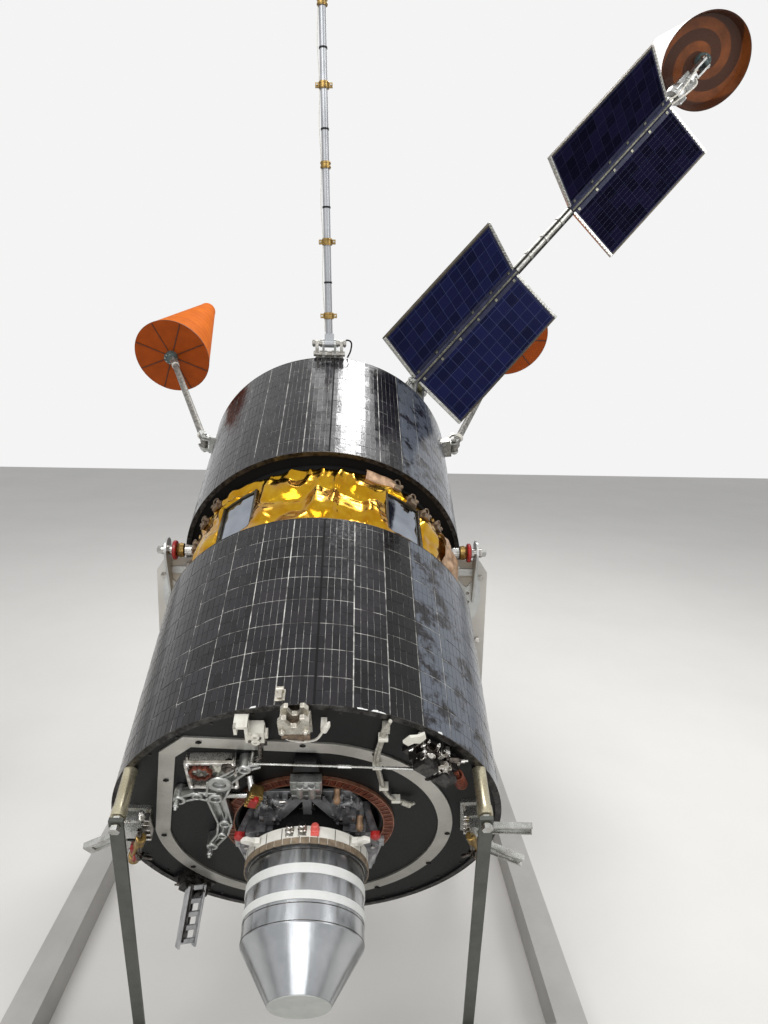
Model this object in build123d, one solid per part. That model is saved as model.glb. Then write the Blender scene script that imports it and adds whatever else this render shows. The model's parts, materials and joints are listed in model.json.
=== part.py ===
from build123d import *
from math import atan2, cos, degrees, hypot, radians, sin
import os

# A small two-drum communications satellite on its museum stand.
#
# The satellite is laid out in its own frame: the origin is the centre of the bottom face of the
# lower drum, local Z runs up the drums' axis, local X points to nine o'clock for someone who faces
# the bottom, and local Y to twelve o'clock. A clock angle is counted in degrees from nine o'clock
# (local +X) through twelve (90) to three o'clock (180). The stand is laid out on the floor, and
# the satellite leans on it with its bottom face towards -Y. All sizes are millimetres.

# Attitude and driving sizes of the body
AXIS_RISE = 26.8            # degrees between the drums' axis and the floor
FACE_HEIGHT = 706           # centre of the bottom face above the floor
DRUM_R = 400
DRUM_WALL = 12
LOWER_LENGTH = 524
BELT_LENGTH = 277
UPPER_LENGTH = 544
BELT_R = DRUM_R - 45
END_PLATE_T = 10
END_PLATE_INSET = 4         # the end plates lie this far inside the drums' rims
SEAT_GAP = 0.3              # running or seating gap between pieces that only lie together
BELT_START = LOWER_LENGTH
UPPER_START = BELT_START + BELT_LENGTH
TOP_STATION = UPPER_START + UPPER_LENGTH

# Core inside the closed drums: one plain block for the equipment
CORE_R = 250
CORE_START = 120

# Belt between the drums
COLLAR_T = 16               # matt black rings that close the drums towards the belt
MIRROR_T = 6
MIRROR_HALF_ANGLE = 7.5
MIRROR_LENGTH = 145
MIRROR_START = BELT_START + 56
MIRROR_CLOCKS = (54, 126, 198, 270, 342)

# Bottom face
WELL_R = 150                # open well in the bottom plate behind the engine adapter
WELL_DEPTH = 60
VENT_RING_R = 176
VENT_RING_BAND = 20
VENT_RING_T = 6
VENT_COUNT = 72
VENT_SLOT_WIDTH = 5
STRIP_WIDTH = 30
STRIP_T = 4
STRIP_R = DRUM_R - 92
STRIP_CENTRE = (10, -24)
STRIP_CORNERS = (            # outer edge, against the clock
    (DRUM_R - 79, -20), (DRUM_R - 128, DRUM_R - 142), (DRUM_R - 178, DRUM_R - 94), (-50, DRUM_R - 116))

CASTING_T = 16
CASTING_STATION = -36       # front of the three-legged casting
CASTING_BARS = (            # from x, y, radius, to x, y, radius
    (170, 170, 24, 178, 118, 20),
    (178, 118, 18, 216, 128, 12),
    (216, 128, 12, 254, 112, 9),
    (170, 118, 18, 164, 20, 14),
    (164, 20, 14, 176, -30, 10),
    (176, -30, 10, 208, -76, 9),
    (160, 168, 16, 118, 224, 10),
)
CASTING_FEET = ((254, 112), (208, -76), (118, 224))
CASTING_FOOT_R = 8
SENSOR_BOX = (               # low corner, high corner, depth, wall
    (DRUM_R - 270, DRUM_R - 228), (DRUM_R - 178, DRUM_R - 148), 22, 6)
CREAM_FITTING = ((72, DRUM_R - 98), (106, DRUM_R - 48), 44)    # low corner, high corner, depth
LATCH_GAP = 12              # between a latch's ears
LATCH_BASE_T = 8
LATCHES = (                 # name, clock, middle radius, radial size, size round the rim, depth
    ("mast", 88, DRUM_R - 46, 62, 52, 62),
    ("wing", 134, DRUM_R - 54, 58, 110, 48),
    ("right", 174, DRUM_R - 55, 60, 110, 56),
    ("left", 5, DRUM_R - 50, 60, 84, 52),
    ("low", 318, DRUM_R - 42, 46, 84, 34),
)
CHANNELS = (                # latch, start and end in the satellite's frame: slotted arms
    ("right", (50 - DRUM_R, 74, -44), (-46 - DRUM_R, 84, -52)),
    ("right", (50 - DRUM_R, 14, -44), (-38 - DRUM_R, 2, -76)),
    ("left", (DRUM_R - 48, 46, -44), (DRUM_R + 40, 6, -58)),
    ("low", (DRUM_R - 138, 168 - DRUM_R, -24), (DRUM_R - 122, 96 - DRUM_R, -104)),
)
CHANNEL_WIDTH = 26
CHANNEL_DEPTH = 12
CHANNEL_WALL = 4

# Adapter and canister on the axis
BRIDGE_STATION = -14        # where the A-shaped bridge lies
BRIDGE_T = 12
BRIDGE_TOP_Y = 165
BRIDGE_HALF_FOOT = 92
BRIDGE_FOOT_Y = 10
BRIDGE_BAR = 17
CANISTER_R = 114
ADAPTER_R = 84
ADAPTER_WALL = 14
CANISTER_START = -70        # the end near the face
CANISTER_LENGTH = 170
NOSE_LENGTH = 92
NOSE_TIP_R = 57
COLLAR_RING_R = 122
COLLAR_RING_LENGTH = 34
BAND_T = 1.2
BAND_STATIONS = ((67, 18), (116, 15))      # start below the canister's rim, width

# Mast at twelve o'clock
MAST_CLOCK = 90
MAST_PIN_R = DRUM_R + 40    # distance of the hinge pin from the axis
MAST_PIN_HEIGHT = 20        # of the pin above the top rim
MAST_R = 11
MAST_WALL = 2
MAST_LENGTH = 1370
MAST_LEAN = 1.6             # degrees that the mast hangs over to the left
MAST_FIRST_CLAMP = 75
MAST_CLAMP_PITCH = 222
MAST_CLAMP_COUNT = 6
MAST_CLAMP_R = 15
MAST_CLAMP_LENGTH = 20
MAST_TIP_R = 17
MAST_TIP_LENGTH = 34

# Wing at half past one: a spar with two pairs of panels and the end antenna
WING_CLOCK = 138.5
WING_PIN_R = DRUM_R - 4
WING_PIN_HEIGHT = 74
WING_LEAN = 62.2            # degrees between the spar and the drums' axis, at rest
SPAR_CRANK = 49             # the spar runs this far inside the pin, and outside it when folded
SPAR_R = 14
SPAR_WALL = 2
SPAR_END = 20               # the spar's tube ends this far beyond the last panels
PANEL_LENGTH = 519
PANEL_WIDTH = 220
PANEL_T = 9
PANEL_HALF_ANGLE = 74.1     # degrees from the fold's middle plane to a panel
PANEL_FIRST = 20            # distance of the first pair from the hinge pin
PANEL_LINK = 293            # bare stretch of the spar between the pairs
WING_HUB_REACH = 205        # from the last panel to the end antenna's pivot
FORK_LENGTH = 60
FORK_GAP = 20
FORK_T = 7
FORK_R = 12

# Cone antennas
CONE_R = 155
CONE_APEX_R = 31
CONE_HEIGHT = 517
CONE_WALL = 3
FEED_HOLE_R = 8             # in a cone's base, behind its hub
HUB_R = 26
HUB_T = 22
HUB_STAND = 18              # from the end antenna's pivot to its hub
CONE_RECESS = 45            # how deep the end cone's base is sunk
ARM_R = 12
ARM_WALL = 2
ARM_PIN_R = DRUM_R + 40
ARM_PIN_HEIGHT = 15
RIGHT_ARM_LENGTH = 646
LEFT_ARM_LENGTH = 656
CONE_TOE_IN = 7.4           # the side cones' axes lean inwards by this much

# Hinges
PIN_R = 5
BRACKET_DEPTH = 46
FOOT_T = 6
LUG_T = 7
LUG_GAP = 30                # wide enough for a folded arm to lie between the ears
LUG_R = 14
KNUCKLE_R = 13
PIN_FIT = 0.08
NECK_LENGTH = 30            # of an arm's root, from its pin
NECK_T = 20

# Stand
FLOOR_BEAM_WIDTH = 76
FLOOR_BEAM_HEIGHT = 88
FLOOR_BEAM_WALL = 4
RAIL_SPACING = 2 * DRUM_R + 540
STAND_OFFSET = -37          # the frame's centre line lies this far left of the satellite's plane
RAIL_FRONT = -200
RAIL_BACK = 1420
FRONT_BEAM_Y = 66
MIDDLE_BEAM_Y = 1060
BACK_BEAM_Y = 1370
TRUNNION_STATION = BELT_START + 231
TRUNNION_Y = 94
TRUNNION_R = 8
TRUNNION_BOSS_R = 16
TRUNNION_BOSS_END = BELT_R + 29     # outer end of the boss on the belt
TRUNNION_BOSS_T = 60
EAR_X = DRUM_R + 31         # inner face of a bracket's ear; the next x values count from there
EAR_T = 6
EAR_R = 35
EAR_FOOT_R = 8
EAR_FOOT_Z = 985
GUSSET_T = 6
GUSSET_Y = 655              # front face of a bracket's perforated plate
GUSSET_TOP = (-55, 6, 1076)                # inner x, outer x, z
GUSSET_BULGE = (-37, 25, 992)              # inner x, outer x, z
GUSSET_TIP = (3, 918)                      # x, z
WINDOW_CORNERS = ((-35, 1048), (-4, 1048), (-18, 1031))
WINDOW_CORNER_R = 8
GUSSET_HOLES = ((-12, 1003), (-10, 977), (-8, 955))
GUSSET_HOLE_R = 4.5
NUT_R = 13
NUT_SPANS = ((-38, -27), (-12, -0.3), (6.3, 19))       # along a trunnion bolt
BOLT_END = 30
RING_AT = -19.5             # middle of the red ring
RING_T = 7
RING_R = 24
UPRIGHT_INNER = -66
UPRIGHT_OUTER = 44
UPRIGHT_T = 10
UPRIGHT_LOW_Z = 700
UPRIGHT_TOP_Z = 1100
UPRIGHT_BEVEL = (24, 36)    # across, down
POST_SIZE = 50
POST_AT = -11
POST_TOP = (700, 930)       # y, z of the post's middle line
STANDOFF_X = DRUM_R - 67
STANDOFF_Y = 200
STANDOFF_R = 16
STANDOFF_LENGTH = 95
STANDOFF_COLLAR_R = 18
STANDOFF_COLLAR_LENGTH = 18
STUD_R = 6
STUD_LENGTH = 24
LEG_WIDTH = 25
LEG_T = 8
LEG_FOOT_Y = 92
LEG_SPREAD = {"left": 69, "right": 41}     # a foot stands this far outside its standoff


def satellite_to_row():
    """Place of the satellite's own frame, above the floor and leaning."""
    rise = radians(AXIS_RISE)
    return Plane(origin=(0, 0, FACE_HEIGHT), x_dir=(-1, 0, 0), z_dir=(0, cos(rise), sin(rise)))


def clock_plane(clock, radius, station):
    """A plane on the drums' side: X radial, Y along growing clock angles, Z up the axis."""
    turn = radians(clock)
    return Plane(
        origin=(radius * cos(turn), radius * sin(turn), station),
        x_dir=(cos(turn), sin(turn), 0),
        z_dir=(0, 0, 1),
    )


def arm_plane(clock, radius, height, lean):
    """The frame of an arm: Z along the arm, Y along its hinge pin, X on its outer side."""
    turn = radians(clock)
    tip = radians(lean)
    return Plane(
        origin=(radius * cos(turn), radius * sin(turn), TOP_STATION + height),
        x_dir=(cos(tip) * cos(turn), cos(tip) * sin(turn), -sin(tip)),
        z_dir=(sin(tip) * cos(turn), sin(tip) * sin(turn), cos(tip)),
    )


def tube(radius, wall, length):
    """An open tube that stands on the origin."""
    return extrude(Circle(radius) - Circle(radius - wall), length)


def rod(start, end, radius, bore=0):
    """A round bar, or a tube with a bore, from one point to another."""
    axis = Vector(*end) - Vector(*start)
    section = Circle(radius) - Circle(bore) if bore else Circle(radius)
    return Plane(origin=start, z_dir=axis) * extrude(section, axis.length)


def block(low, high):
    """A box between two corners."""
    sizes = [b - a for a, b in zip(low, high)]
    return Pos(*low) * Box(*sizes, align=(Align.MIN, Align.MIN, Align.MIN))


SATELLITE = satellite_to_row()
pieces = {}                 # node name to its shape in the row frame


def on_satellite(name, shape):
    """Keep a piece that is drawn in the satellite's frame."""
    pieces[name] = SATELLITE * shape


# Drums, belt and end plates
def drum(start, length):
    return Pos(0, 0, start) * tube(DRUM_R, DRUM_WALL, length)


on_satellite("lower_drum", drum(0, LOWER_LENGTH))
on_satellite("upper_drum", drum(UPPER_START, UPPER_LENGTH))

plate_r = DRUM_R - DRUM_WALL - SEAT_GAP
bottom_plate = Pos(0, 0, END_PLATE_INSET) * Cylinder(plate_r, END_PLATE_T, align=(Align.CENTER, Align.CENTER, Align.MIN))
bottom_plate -= Cylinder(WELL_R, WELL_DEPTH)
on_satellite("bottom_plate", bottom_plate)
on_satellite("well", Pos(0, 0, END_PLATE_INSET) * (
    tube(WELL_R - SEAT_GAP, 3, WELL_DEPTH)
    + Pos(0, 0, WELL_DEPTH) * extrude(Circle(WELL_R - SEAT_GAP), 3)))
top_plate = Pos(0, 0, TOP_STATION - END_PLATE_T - END_PLATE_INSET) * extrude(Circle(plate_r), END_PLATE_T)
on_satellite("top_plate", top_plate)
on_satellite("belt", Pos(0, 0, BELT_START - 20) * tube(BELT_R, 12, BELT_LENGTH + 40))
core_length = TOP_STATION - END_PLATE_T - END_PLATE_INSET - SEAT_GAP - CORE_START
on_satellite("equipment_core", Pos(0, 0, CORE_START) * extrude(Circle(CORE_R), core_length))

collar_band = Circle(DRUM_R - DRUM_WALL - SEAT_GAP) - Circle(BELT_R + SEAT_GAP)
lower_collar = Pos(0, 0, BELT_START - COLLAR_T - 4) * extrude(collar_band, COLLAR_T)
upper_collar = Pos(0, 0, UPPER_START + 4) * extrude(collar_band, COLLAR_T)
on_satellite("belt_collars", Compound([lower_collar, upper_collar]))


def mirror(clock):
    """One curved mirror plate on the belt."""
    inner = BELT_R + SEAT_GAP
    plate = extrude(Circle(inner + MIRROR_T) - Circle(inner), MIRROR_LENGTH)
    half_chord = (inner + MIRROR_T) * sin(radians(MIRROR_HALF_ANGLE))
    wedge = block((0, -half_chord, -1), (DRUM_R, half_chord, MIRROR_LENGTH + 1))
    return Rot(0, 0, clock) * (Pos(0, 0, MIRROR_START) * (plate & wedge))


on_satellite("belt_mirrors", Compound([mirror(clock) for clock in MIRROR_CLOCKS]))


# Strip frame on the bottom face: straight on the left and at the top, round elsewhere
def strip_outline(inset):
    """The strip's outline, drawn in by an inset: four straight corners and one long arc."""
    start, end = STRIP_CORNERS[-1], STRIP_CORNERS[0]
    low = (STRIP_CENTRE[0], STRIP_CENTRE[1] - STRIP_R)
    edges = Polyline(*STRIP_CORNERS) + ThreePointArc(start, low, end)
    return offset(make_face(edges), -inset) if inset else make_face(edges)


strip = extrude(strip_outline(0) - strip_outline(STRIP_WIDTH), STRIP_T)
on_satellite("face_strip", Pos(0, 0, END_PLATE_INSET - SEAT_GAP - STRIP_T) * strip)

# Slotted ring round the well
vent_ring = tube(VENT_RING_R, VENT_RING_BAND, VENT_RING_T)
vent_slot = block(
    (VENT_RING_R - VENT_RING_BAND + 3, -VENT_SLOT_WIDTH / 2, -1),
    (VENT_RING_R - 3, VENT_SLOT_WIDTH / 2, VENT_RING_T - 2))
vent_ring -= [Rot(0, 0, 360 * i / VENT_COUNT) * vent_slot for i in range(VENT_COUNT)]
on_satellite("vent_ring", Pos(0, 0, END_PLATE_INSET - SEAT_GAP - VENT_RING_T) * vent_ring)


# A-shaped bridge over the well, with the collar and canister hanging on it
def bridge_bar(start, end, width):
    """A flat bar of the bridge between two points of its plane."""
    run = hypot(end[0] - start[0], end[1] - start[1])
    turn = degrees(atan2(end[1] - start[1], end[0] - start[0]))
    return Pos(start[0], start[1], 0) * Rot(0, 0, turn) * block((0, -width / 2, 0), (run, width / 2, BRIDGE_T))


bridge = bridge_bar((0, BRIDGE_TOP_Y), (BRIDGE_HALF_FOOT, BRIDGE_FOOT_Y), BRIDGE_BAR)
bridge += bridge_bar((0, BRIDGE_TOP_Y), (-BRIDGE_HALF_FOOT, BRIDGE_FOOT_Y), BRIDGE_BAR)
bridge += bridge_bar((0, BRIDGE_TOP_Y), (0, BRIDGE_FOOT_Y), BRIDGE_BAR)
bridge += bridge_bar((-BRIDGE_HALF_FOOT, BRIDGE_FOOT_Y), (BRIDGE_HALF_FOOT, BRIDGE_FOOT_Y), 2 * BRIDGE_BAR)
bridge -= Cylinder(ADAPTER_R + SEAT_GAP, 4 * BRIDGE_T)
on_satellite("bridge", Pos(0, 0, BRIDGE_STATION - BRIDGE_T) * bridge)

canister_low = CANISTER_START - CANISTER_LENGTH
canister = Pos(0, 0, canister_low) * extrude(Circle(CANISTER_R), CANISTER_LENGTH)
canister += Pos(0, 0, canister_low - NOSE_LENGTH) * Solid.make_cone(NOSE_TIP_R, CANISTER_R, NOSE_LENGTH)
on_satellite("canister", canister)
band_ring = Circle(CANISTER_R + SEAT_GAP + BAND_T) - Circle(CANISTER_R + SEAT_GAP)
bands = [Pos(0, 0, CANISTER_START - start - width) * extrude(band_ring, width) for start, width in BAND_STATIONS]
on_satellite("canister_bands", Compound(bands))
collar_ring = extrude(Circle(COLLAR_RING_R) - Circle(CANISTER_R + SEAT_GAP), COLLAR_RING_LENGTH)
on_satellite("canister_collar", Pos(0, 0, CANISTER_START - COLLAR_RING_LENGTH) * collar_ring)
adapter_length = END_PLATE_INSET + WELL_DEPTH - SEAT_GAP - (CANISTER_START + SEAT_GAP)
on_satellite("engine_adapter", Pos(0, 0, CANISTER_START + SEAT_GAP) * tube(
    ADAPTER_R, ADAPTER_WALL, adapter_length))


# Hinge brackets on the top rim and the moving arms
def rim_bracket(clock, pin_r, pin_height):
    """A clevis that stands on a drum's top rim and holds a hinge pin."""
    rim_x = DRUM_R - pin_r
    rim_z = SEAT_GAP - pin_height
    ear_outline = make_hull([
        *Circle(LUG_R).edges(),
        *(Pos(rim_x - BRACKET_DEPTH / 2, rim_z + FOOT_T / 2) * Rectangle(BRACKET_DEPTH, FOOT_T)).edges()])
    ear = Plane.XZ * extrude(ear_outline, LUG_T)
    half = LUG_GAP / 2
    clevis = Pos(0, -half, 0) * ear + Pos(0, half + LUG_T, 0) * ear
    clevis += block((rim_x - BRACKET_DEPTH, -half - LUG_T, rim_z), (rim_x, half + LUG_T, rim_z + FOOT_T))
    pin = Rot(90, 0, 0) * Cylinder(PIN_R, LUG_GAP + 2 * LUG_T + 8)
    return clock_plane(clock, pin_r, TOP_STATION + pin_height) * (clevis + pin)


def knuckle(low, high):
    """An arm's root: an eye round the pin and a neck between two corners of the arm's X-Z plane."""
    width = LUG_GAP - 1
    root = Rot(90, 0, 0) * Cylinder(KNUCKLE_R, width)
    root += block((low[0], -width / 2, low[1]), (high[0], width / 2, high[1]))
    return root - Rot(90, 0, 0) * Cylinder(PIN_R + PIN_FIT, width + 2)


straight_knuckle = knuckle((-NECK_T / 2, 0), (NECK_T / 2, NECK_LENGTH))


def arm_tube(radius, wall, length):
    """A tube along an arm, with its root inside the knuckle's neck."""
    return Pos(0, 0, NECK_LENGTH - 2) * tube(radius, wall, length - NECK_LENGTH + 2)


on_satellite("mast_bracket", rim_bracket(MAST_CLOCK, MAST_PIN_R, MAST_PIN_HEIGHT))
on_satellite("wing_bracket", rim_bracket(WING_CLOCK, WING_PIN_R, WING_PIN_HEIGHT))

# Mast: its tube leans a little to the left of its hinge
mast_plane = arm_plane(MAST_CLOCK, MAST_PIN_R, MAST_PIN_HEIGHT, 90 - AXIS_RISE)
mast_twist = Rot(MAST_LEAN, 0, 0)
mast = mast_twist * arm_tube(MAST_R, MAST_WALL, MAST_LENGTH)
on_satellite("mast", mast_plane * (mast + straight_knuckle))
clamp_ring = tube(MAST_CLAMP_R, MAST_CLAMP_R - MAST_R - SEAT_GAP, MAST_CLAMP_LENGTH)
clamps = [Pos(0, 0, MAST_FIRST_CLAMP + MAST_CLAMP_PITCH * i) * clamp_ring for i in range(MAST_CLAMP_COUNT)]
on_satellite("mast_clamps", mast_plane * (mast_twist * Compound(clamps)))
tip = Pos(0, 0, MAST_LENGTH + SEAT_GAP) * extrude(Circle(MAST_TIP_R), MAST_TIP_LENGTH)
on_satellite("mast_tip", mast_plane * (mast_twist * tip))

# Wing: the spar is cranked, so that it lies outside the drums when the wing is folded
wing_plane = arm_plane(WING_CLOCK, WING_PIN_R, WING_PIN_HEIGHT, WING_LEAN)
spar_line = wing_plane * Pos(-SPAR_CRANK, 0, 0)
second_pair = PANEL_FIRST + PANEL_LENGTH + PANEL_LINK
spar_end = second_pair + PANEL_LENGTH + SPAR_END
crank = knuckle((-SPAR_CRANK - SPAR_R, -NECK_T / 2), (0, NECK_T / 2))
spar = Pos(-SPAR_CRANK, 0, NECK_T / 2 - 2) * tube(SPAR_R, SPAR_WALL, spar_end - NECK_T / 2 + 2)
on_satellite("wing_spar", wing_plane * (crank + spar))


def panel(start, side):
    """One flat panel of a pair, seated on its own side of the spar."""
    turn = radians(PANEL_HALF_ANGLE)
    seat = Plane(origin=(0, 0, start), x_dir=(cos(turn), side * sin(turn), 0), z_dir=(0, 0, 1))
    return spar_line * (seat * block(
        (SPAR_R + SEAT_GAP, -PANEL_T / 2, 0), (PANEL_WIDTH, PANEL_T / 2, PANEL_LENGTH)))


for pair, start in (("inner", PANEL_FIRST), ("outer", second_pair)):
    for edge, side in (("upper", -1), ("lower", 1)):
        on_satellite(f"panel_{pair}_{edge}", panel(start, side))

hub_station = second_pair + PANEL_LENGTH + WING_HUB_REACH
fork_start = hub_station - FORK_LENGTH
fork_half = FORK_GAP / 2 + FORK_T
end_bracket = rod((0, 0, spar_end + SEAT_GAP), (0, 0, fork_start), SPAR_R - SPAR_WALL)
end_bracket += block((-FORK_R, -fork_half, fork_start - FORK_T), (FORK_R, fork_half, fork_start))
for side in (-1, 1):
    y = side * (FORK_GAP + FORK_T) / 2
    end_bracket += block((-FORK_R, y - FORK_T / 2, fork_start), (FORK_R, y + FORK_T / 2, hub_station))
    end_bracket += Pos(0, y, hub_station) * Rot(90, 0, 0) * Cylinder(FORK_R, FORK_T)
end_bracket += Pos(0, 0, hub_station) * Rot(90, 0, 0) * Cylinder(PIN_R, 2 * fork_half + 6)
on_satellite("wing_end_bracket", spar_line * end_bracket)


def cone_body(recess):
    """A hollow cone antenna that stands on its rim, with a rounded apex and a flush or sunk base."""
    slope = (CONE_R - CONE_APEX_R) / CONE_HEIGHT
    top = CONE_HEIGHT - CONE_APEX_R
    apex_r = CONE_APEX_R + slope * CONE_APEX_R
    body = Solid.make_cone(CONE_R, apex_r, top) + Pos(0, 0, top) * Sphere(apex_r)
    floor = recess + CONE_WALL
    body -= Pos(0, 0, floor) * Solid.make_cone(
        CONE_R - slope * floor - CONE_WALL, apex_r - CONE_WALL, top - floor)
    if recess:
        body -= Solid.make_cone(CONE_R - CONE_WALL, CONE_R - slope * recess - CONE_WALL, recess)
    body -= Cylinder(FEED_HOLE_R, 3 * floor)
    return body


# End antenna: it pivots in the wing's fork, and its axis is parallel to the drums' axis at rest
end_frame = spar_line * Pos(0, 0, hub_station) * Rot(0, -WING_LEAN, 0)
barrel_width = FORK_GAP - 1
end_hub = Rot(90, 0, 0) * Cylinder(FORK_R - 2, barrel_width)
end_hub += extrude(Circle(FORK_R - 3), HUB_STAND)
end_hub += Pos(0, 0, HUB_STAND) * extrude(Circle(HUB_R), HUB_T)
end_hub -= Rot(90, 0, 0) * Cylinder(PIN_R + PIN_FIT, 2 * FORK_GAP)
on_satellite("end_hub", end_frame * end_hub)
end_rim = HUB_STAND + HUB_T + SEAT_GAP - CONE_RECESS
on_satellite("end_cone", end_frame * (Pos(0, 0, end_rim) * cone_body(CONE_RECESS)))

# Side antennas: an arm with a hub that is clamped on its end, and a cone on the hub
side_antennas = (           # name, clock, lean off the axis, tilt along the pin, arm's length
    ("right", 172, 27.1, 9.9, RIGHT_ARM_LENGTH),
    ("left", 8, 20.9, 1.2, LEFT_ARM_LENGTH),
)
arm_planes = {}
for name, clock, lean, tilt, length in side_antennas:
    on_satellite(f"{name}_bracket", rim_bracket(clock, ARM_PIN_R, ARM_PIN_HEIGHT))
    arm_planes[name] = plane = arm_plane(clock, ARM_PIN_R, ARM_PIN_HEIGHT, lean)
    tilted = Rot(tilt, 0, 0)
    cone_turn = Rot(0, -lean - CONE_TOE_IN, 0)
    cone_base = Location((tilted * Pos(0, 0, length)).position) * cone_turn
    beyond_hub = cone_base * Pos(0, 0, -SEAT_GAP - HUB_T - SEAT_GAP) * extrude(Circle(3 * HUB_R), 3 * HUB_T)
    arm = tilted * arm_tube(ARM_R, ARM_WALL, length) - beyond_hub
    on_satellite(f"{name}_arm", plane * (arm + straight_knuckle))
    hub = Pos(0, 0, -SEAT_GAP - HUB_T) * extrude(Circle(HUB_R), HUB_T)
    on_satellite(f"{name}_hub", plane * (cone_base * hub))
    on_satellite(f"{name}_cone", plane * (cone_base * cone_body(0)))


# Fittings on the bottom face
face_front = END_PLATE_INSET - SEAT_GAP


def rim_latch(clock, radius, radial, tangential, depth):
    """A latch by the bottom rim: a base plate, a body and two ears round a gap."""
    half = tangential / 2
    base = block((-radial / 2, -half, -LATCH_BASE_T), (radial / 2, half, 0))
    body = block((-radial / 3, -half + 6, -depth * 0.6), (radial / 3, half - 6, 0))
    ears = block((-radial / 4, -half + 10, -depth), (radial / 4, half - 10, 0))
    ears -= block((-radial, -LATCH_GAP / 2, -2 * depth), (radial, LATCH_GAP / 2, -depth * 0.6))
    return clock_plane(clock, radius, face_front) * (base + body + ears)


def slotted_channel(start, end):
    """A slotted channel arm from one point to another."""
    run = Vector(*end) - Vector(*start)
    half = CHANNEL_WIDTH / 2
    inner = half - CHANNEL_WALL
    arm = block((-half, 0, -CHANNEL_DEPTH), (half, CHANNEL_DEPTH, run.length))
    arm -= block((-inner, CHANNEL_WALL, -2 * CHANNEL_DEPTH), (inner, 2 * CHANNEL_DEPTH, 2 * run.length))
    arm -= block((-inner + 3, -1, run.length * 0.3), (inner - 3, CHANNEL_DEPTH, run.length * 0.85))
    return Plane(origin=start, x_dir=(0, 1, 0), z_dir=run) * arm


for name, clock, radius, radial, tangential, depth in LATCHES:
    latch = rim_latch(clock, radius, radial, tangential, depth)
    for owner, start, end in CHANNELS:
        if owner == name:
            latch += slotted_channel(start, end)
    on_satellite(f"latch_{name}", latch)


def tapered_bar(start_x, start_y, start_r, end_x, end_y, end_r):
    """A flat bar with round ends of two sizes."""
    outline = make_hull([*(Pos(start_x, start_y) * Circle(start_r)).edges(),
                         *(Pos(end_x, end_y) * Circle(end_r)).edges()])
    return extrude(outline, CASTING_T)


casting = tapered_bar(*CASTING_BARS[0])
for bar in CASTING_BARS[1:]:
    casting += tapered_bar(*bar)
for foot_x, foot_y in CASTING_FEET:
    casting += Pos(foot_x, foot_y, 0) * extrude(Circle(CASTING_FOOT_R), face_front - CASTING_STATION)
on_satellite("y_casting", Pos(0, 0, CASTING_STATION) * casting)

box_low, box_high, box_depth, box_wall = SENSOR_BOX
sensor_box = block((*box_low, -box_depth), (*box_high, 0))
sensor_box -= block(
    (box_low[0] + box_wall, box_low[1] + box_wall, -2 * box_depth),
    (box_high[0] - box_wall, box_high[1] - box_wall, -box_wall))
on_satellite("sensor_box", Pos(0, 0, face_front) * sensor_box)
fitting_low, fitting_high, fitting_depth = CREAM_FITTING
on_satellite("cream_fitting", block((*fitting_low, face_front - fitting_depth), (*fitting_high, face_front)))

# Stand
rails = (("left", -1), ("right", 1))
beam_profile = Rectangle(FLOOR_BEAM_WIDTH, FLOOR_BEAM_HEIGHT) - Rectangle(
    FLOOR_BEAM_WIDTH - 2 * FLOOR_BEAM_WALL, FLOOR_BEAM_HEIGHT - 2 * FLOOR_BEAM_WALL)
for name, side in rails:
    x = STAND_OFFSET + side * RAIL_SPACING / 2
    rail = Plane(origin=(x, RAIL_FRONT, FLOOR_BEAM_HEIGHT / 2), x_dir=(1, 0, 0), z_dir=(0, 1, 0)) * extrude(
        beam_profile, RAIL_BACK - RAIL_FRONT)
    pieces[f"rail_{name}"] = rail
clear_width = RAIL_SPACING - FLOOR_BEAM_WIDTH
for name, y in (("front", FRONT_BEAM_Y), ("middle", MIDDLE_BEAM_Y), ("back", BACK_BEAM_Y)):
    beam = Plane(
        origin=(STAND_OFFSET - clear_width / 2, y, FLOOR_BEAM_HEIGHT / 2),
        x_dir=(0, 1, 0), z_dir=(1, 0, 0)) * extrude(beam_profile, clear_width)
    pieces[f"beam_{name}"] = beam

trunnion_at = SATELLITE.from_local_coords(Vector(0, TRUNNION_Y, TRUNNION_STATION))
trunnion_line = Pos(0, trunnion_at.Y, trunnion_at.Z) * Rot(0, 90, 0)
upright_front = GUSSET_Y + GUSSET_T + SEAT_GAP


def across(low, high, radius):
    """A round bar along the trunnion line, from one distance off the satellite's plane to another."""
    return trunnion_line * Pos(0, 0, low) * extrude(Circle(radius), high - low)


def beside_ear(point):
    """A point of the stand's front view, whose x counts from the ear."""
    return EAR_X + point[0], point[-1]


def front_plate(outline, front, thickness):
    """A plate that faces the front, drawn in the stand's front view."""
    return Plane(origin=(0, front + thickness, 0), x_dir=(1, 0, 0), z_dir=(0, -1, 0)) * extrude(
        outline, thickness)


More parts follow.
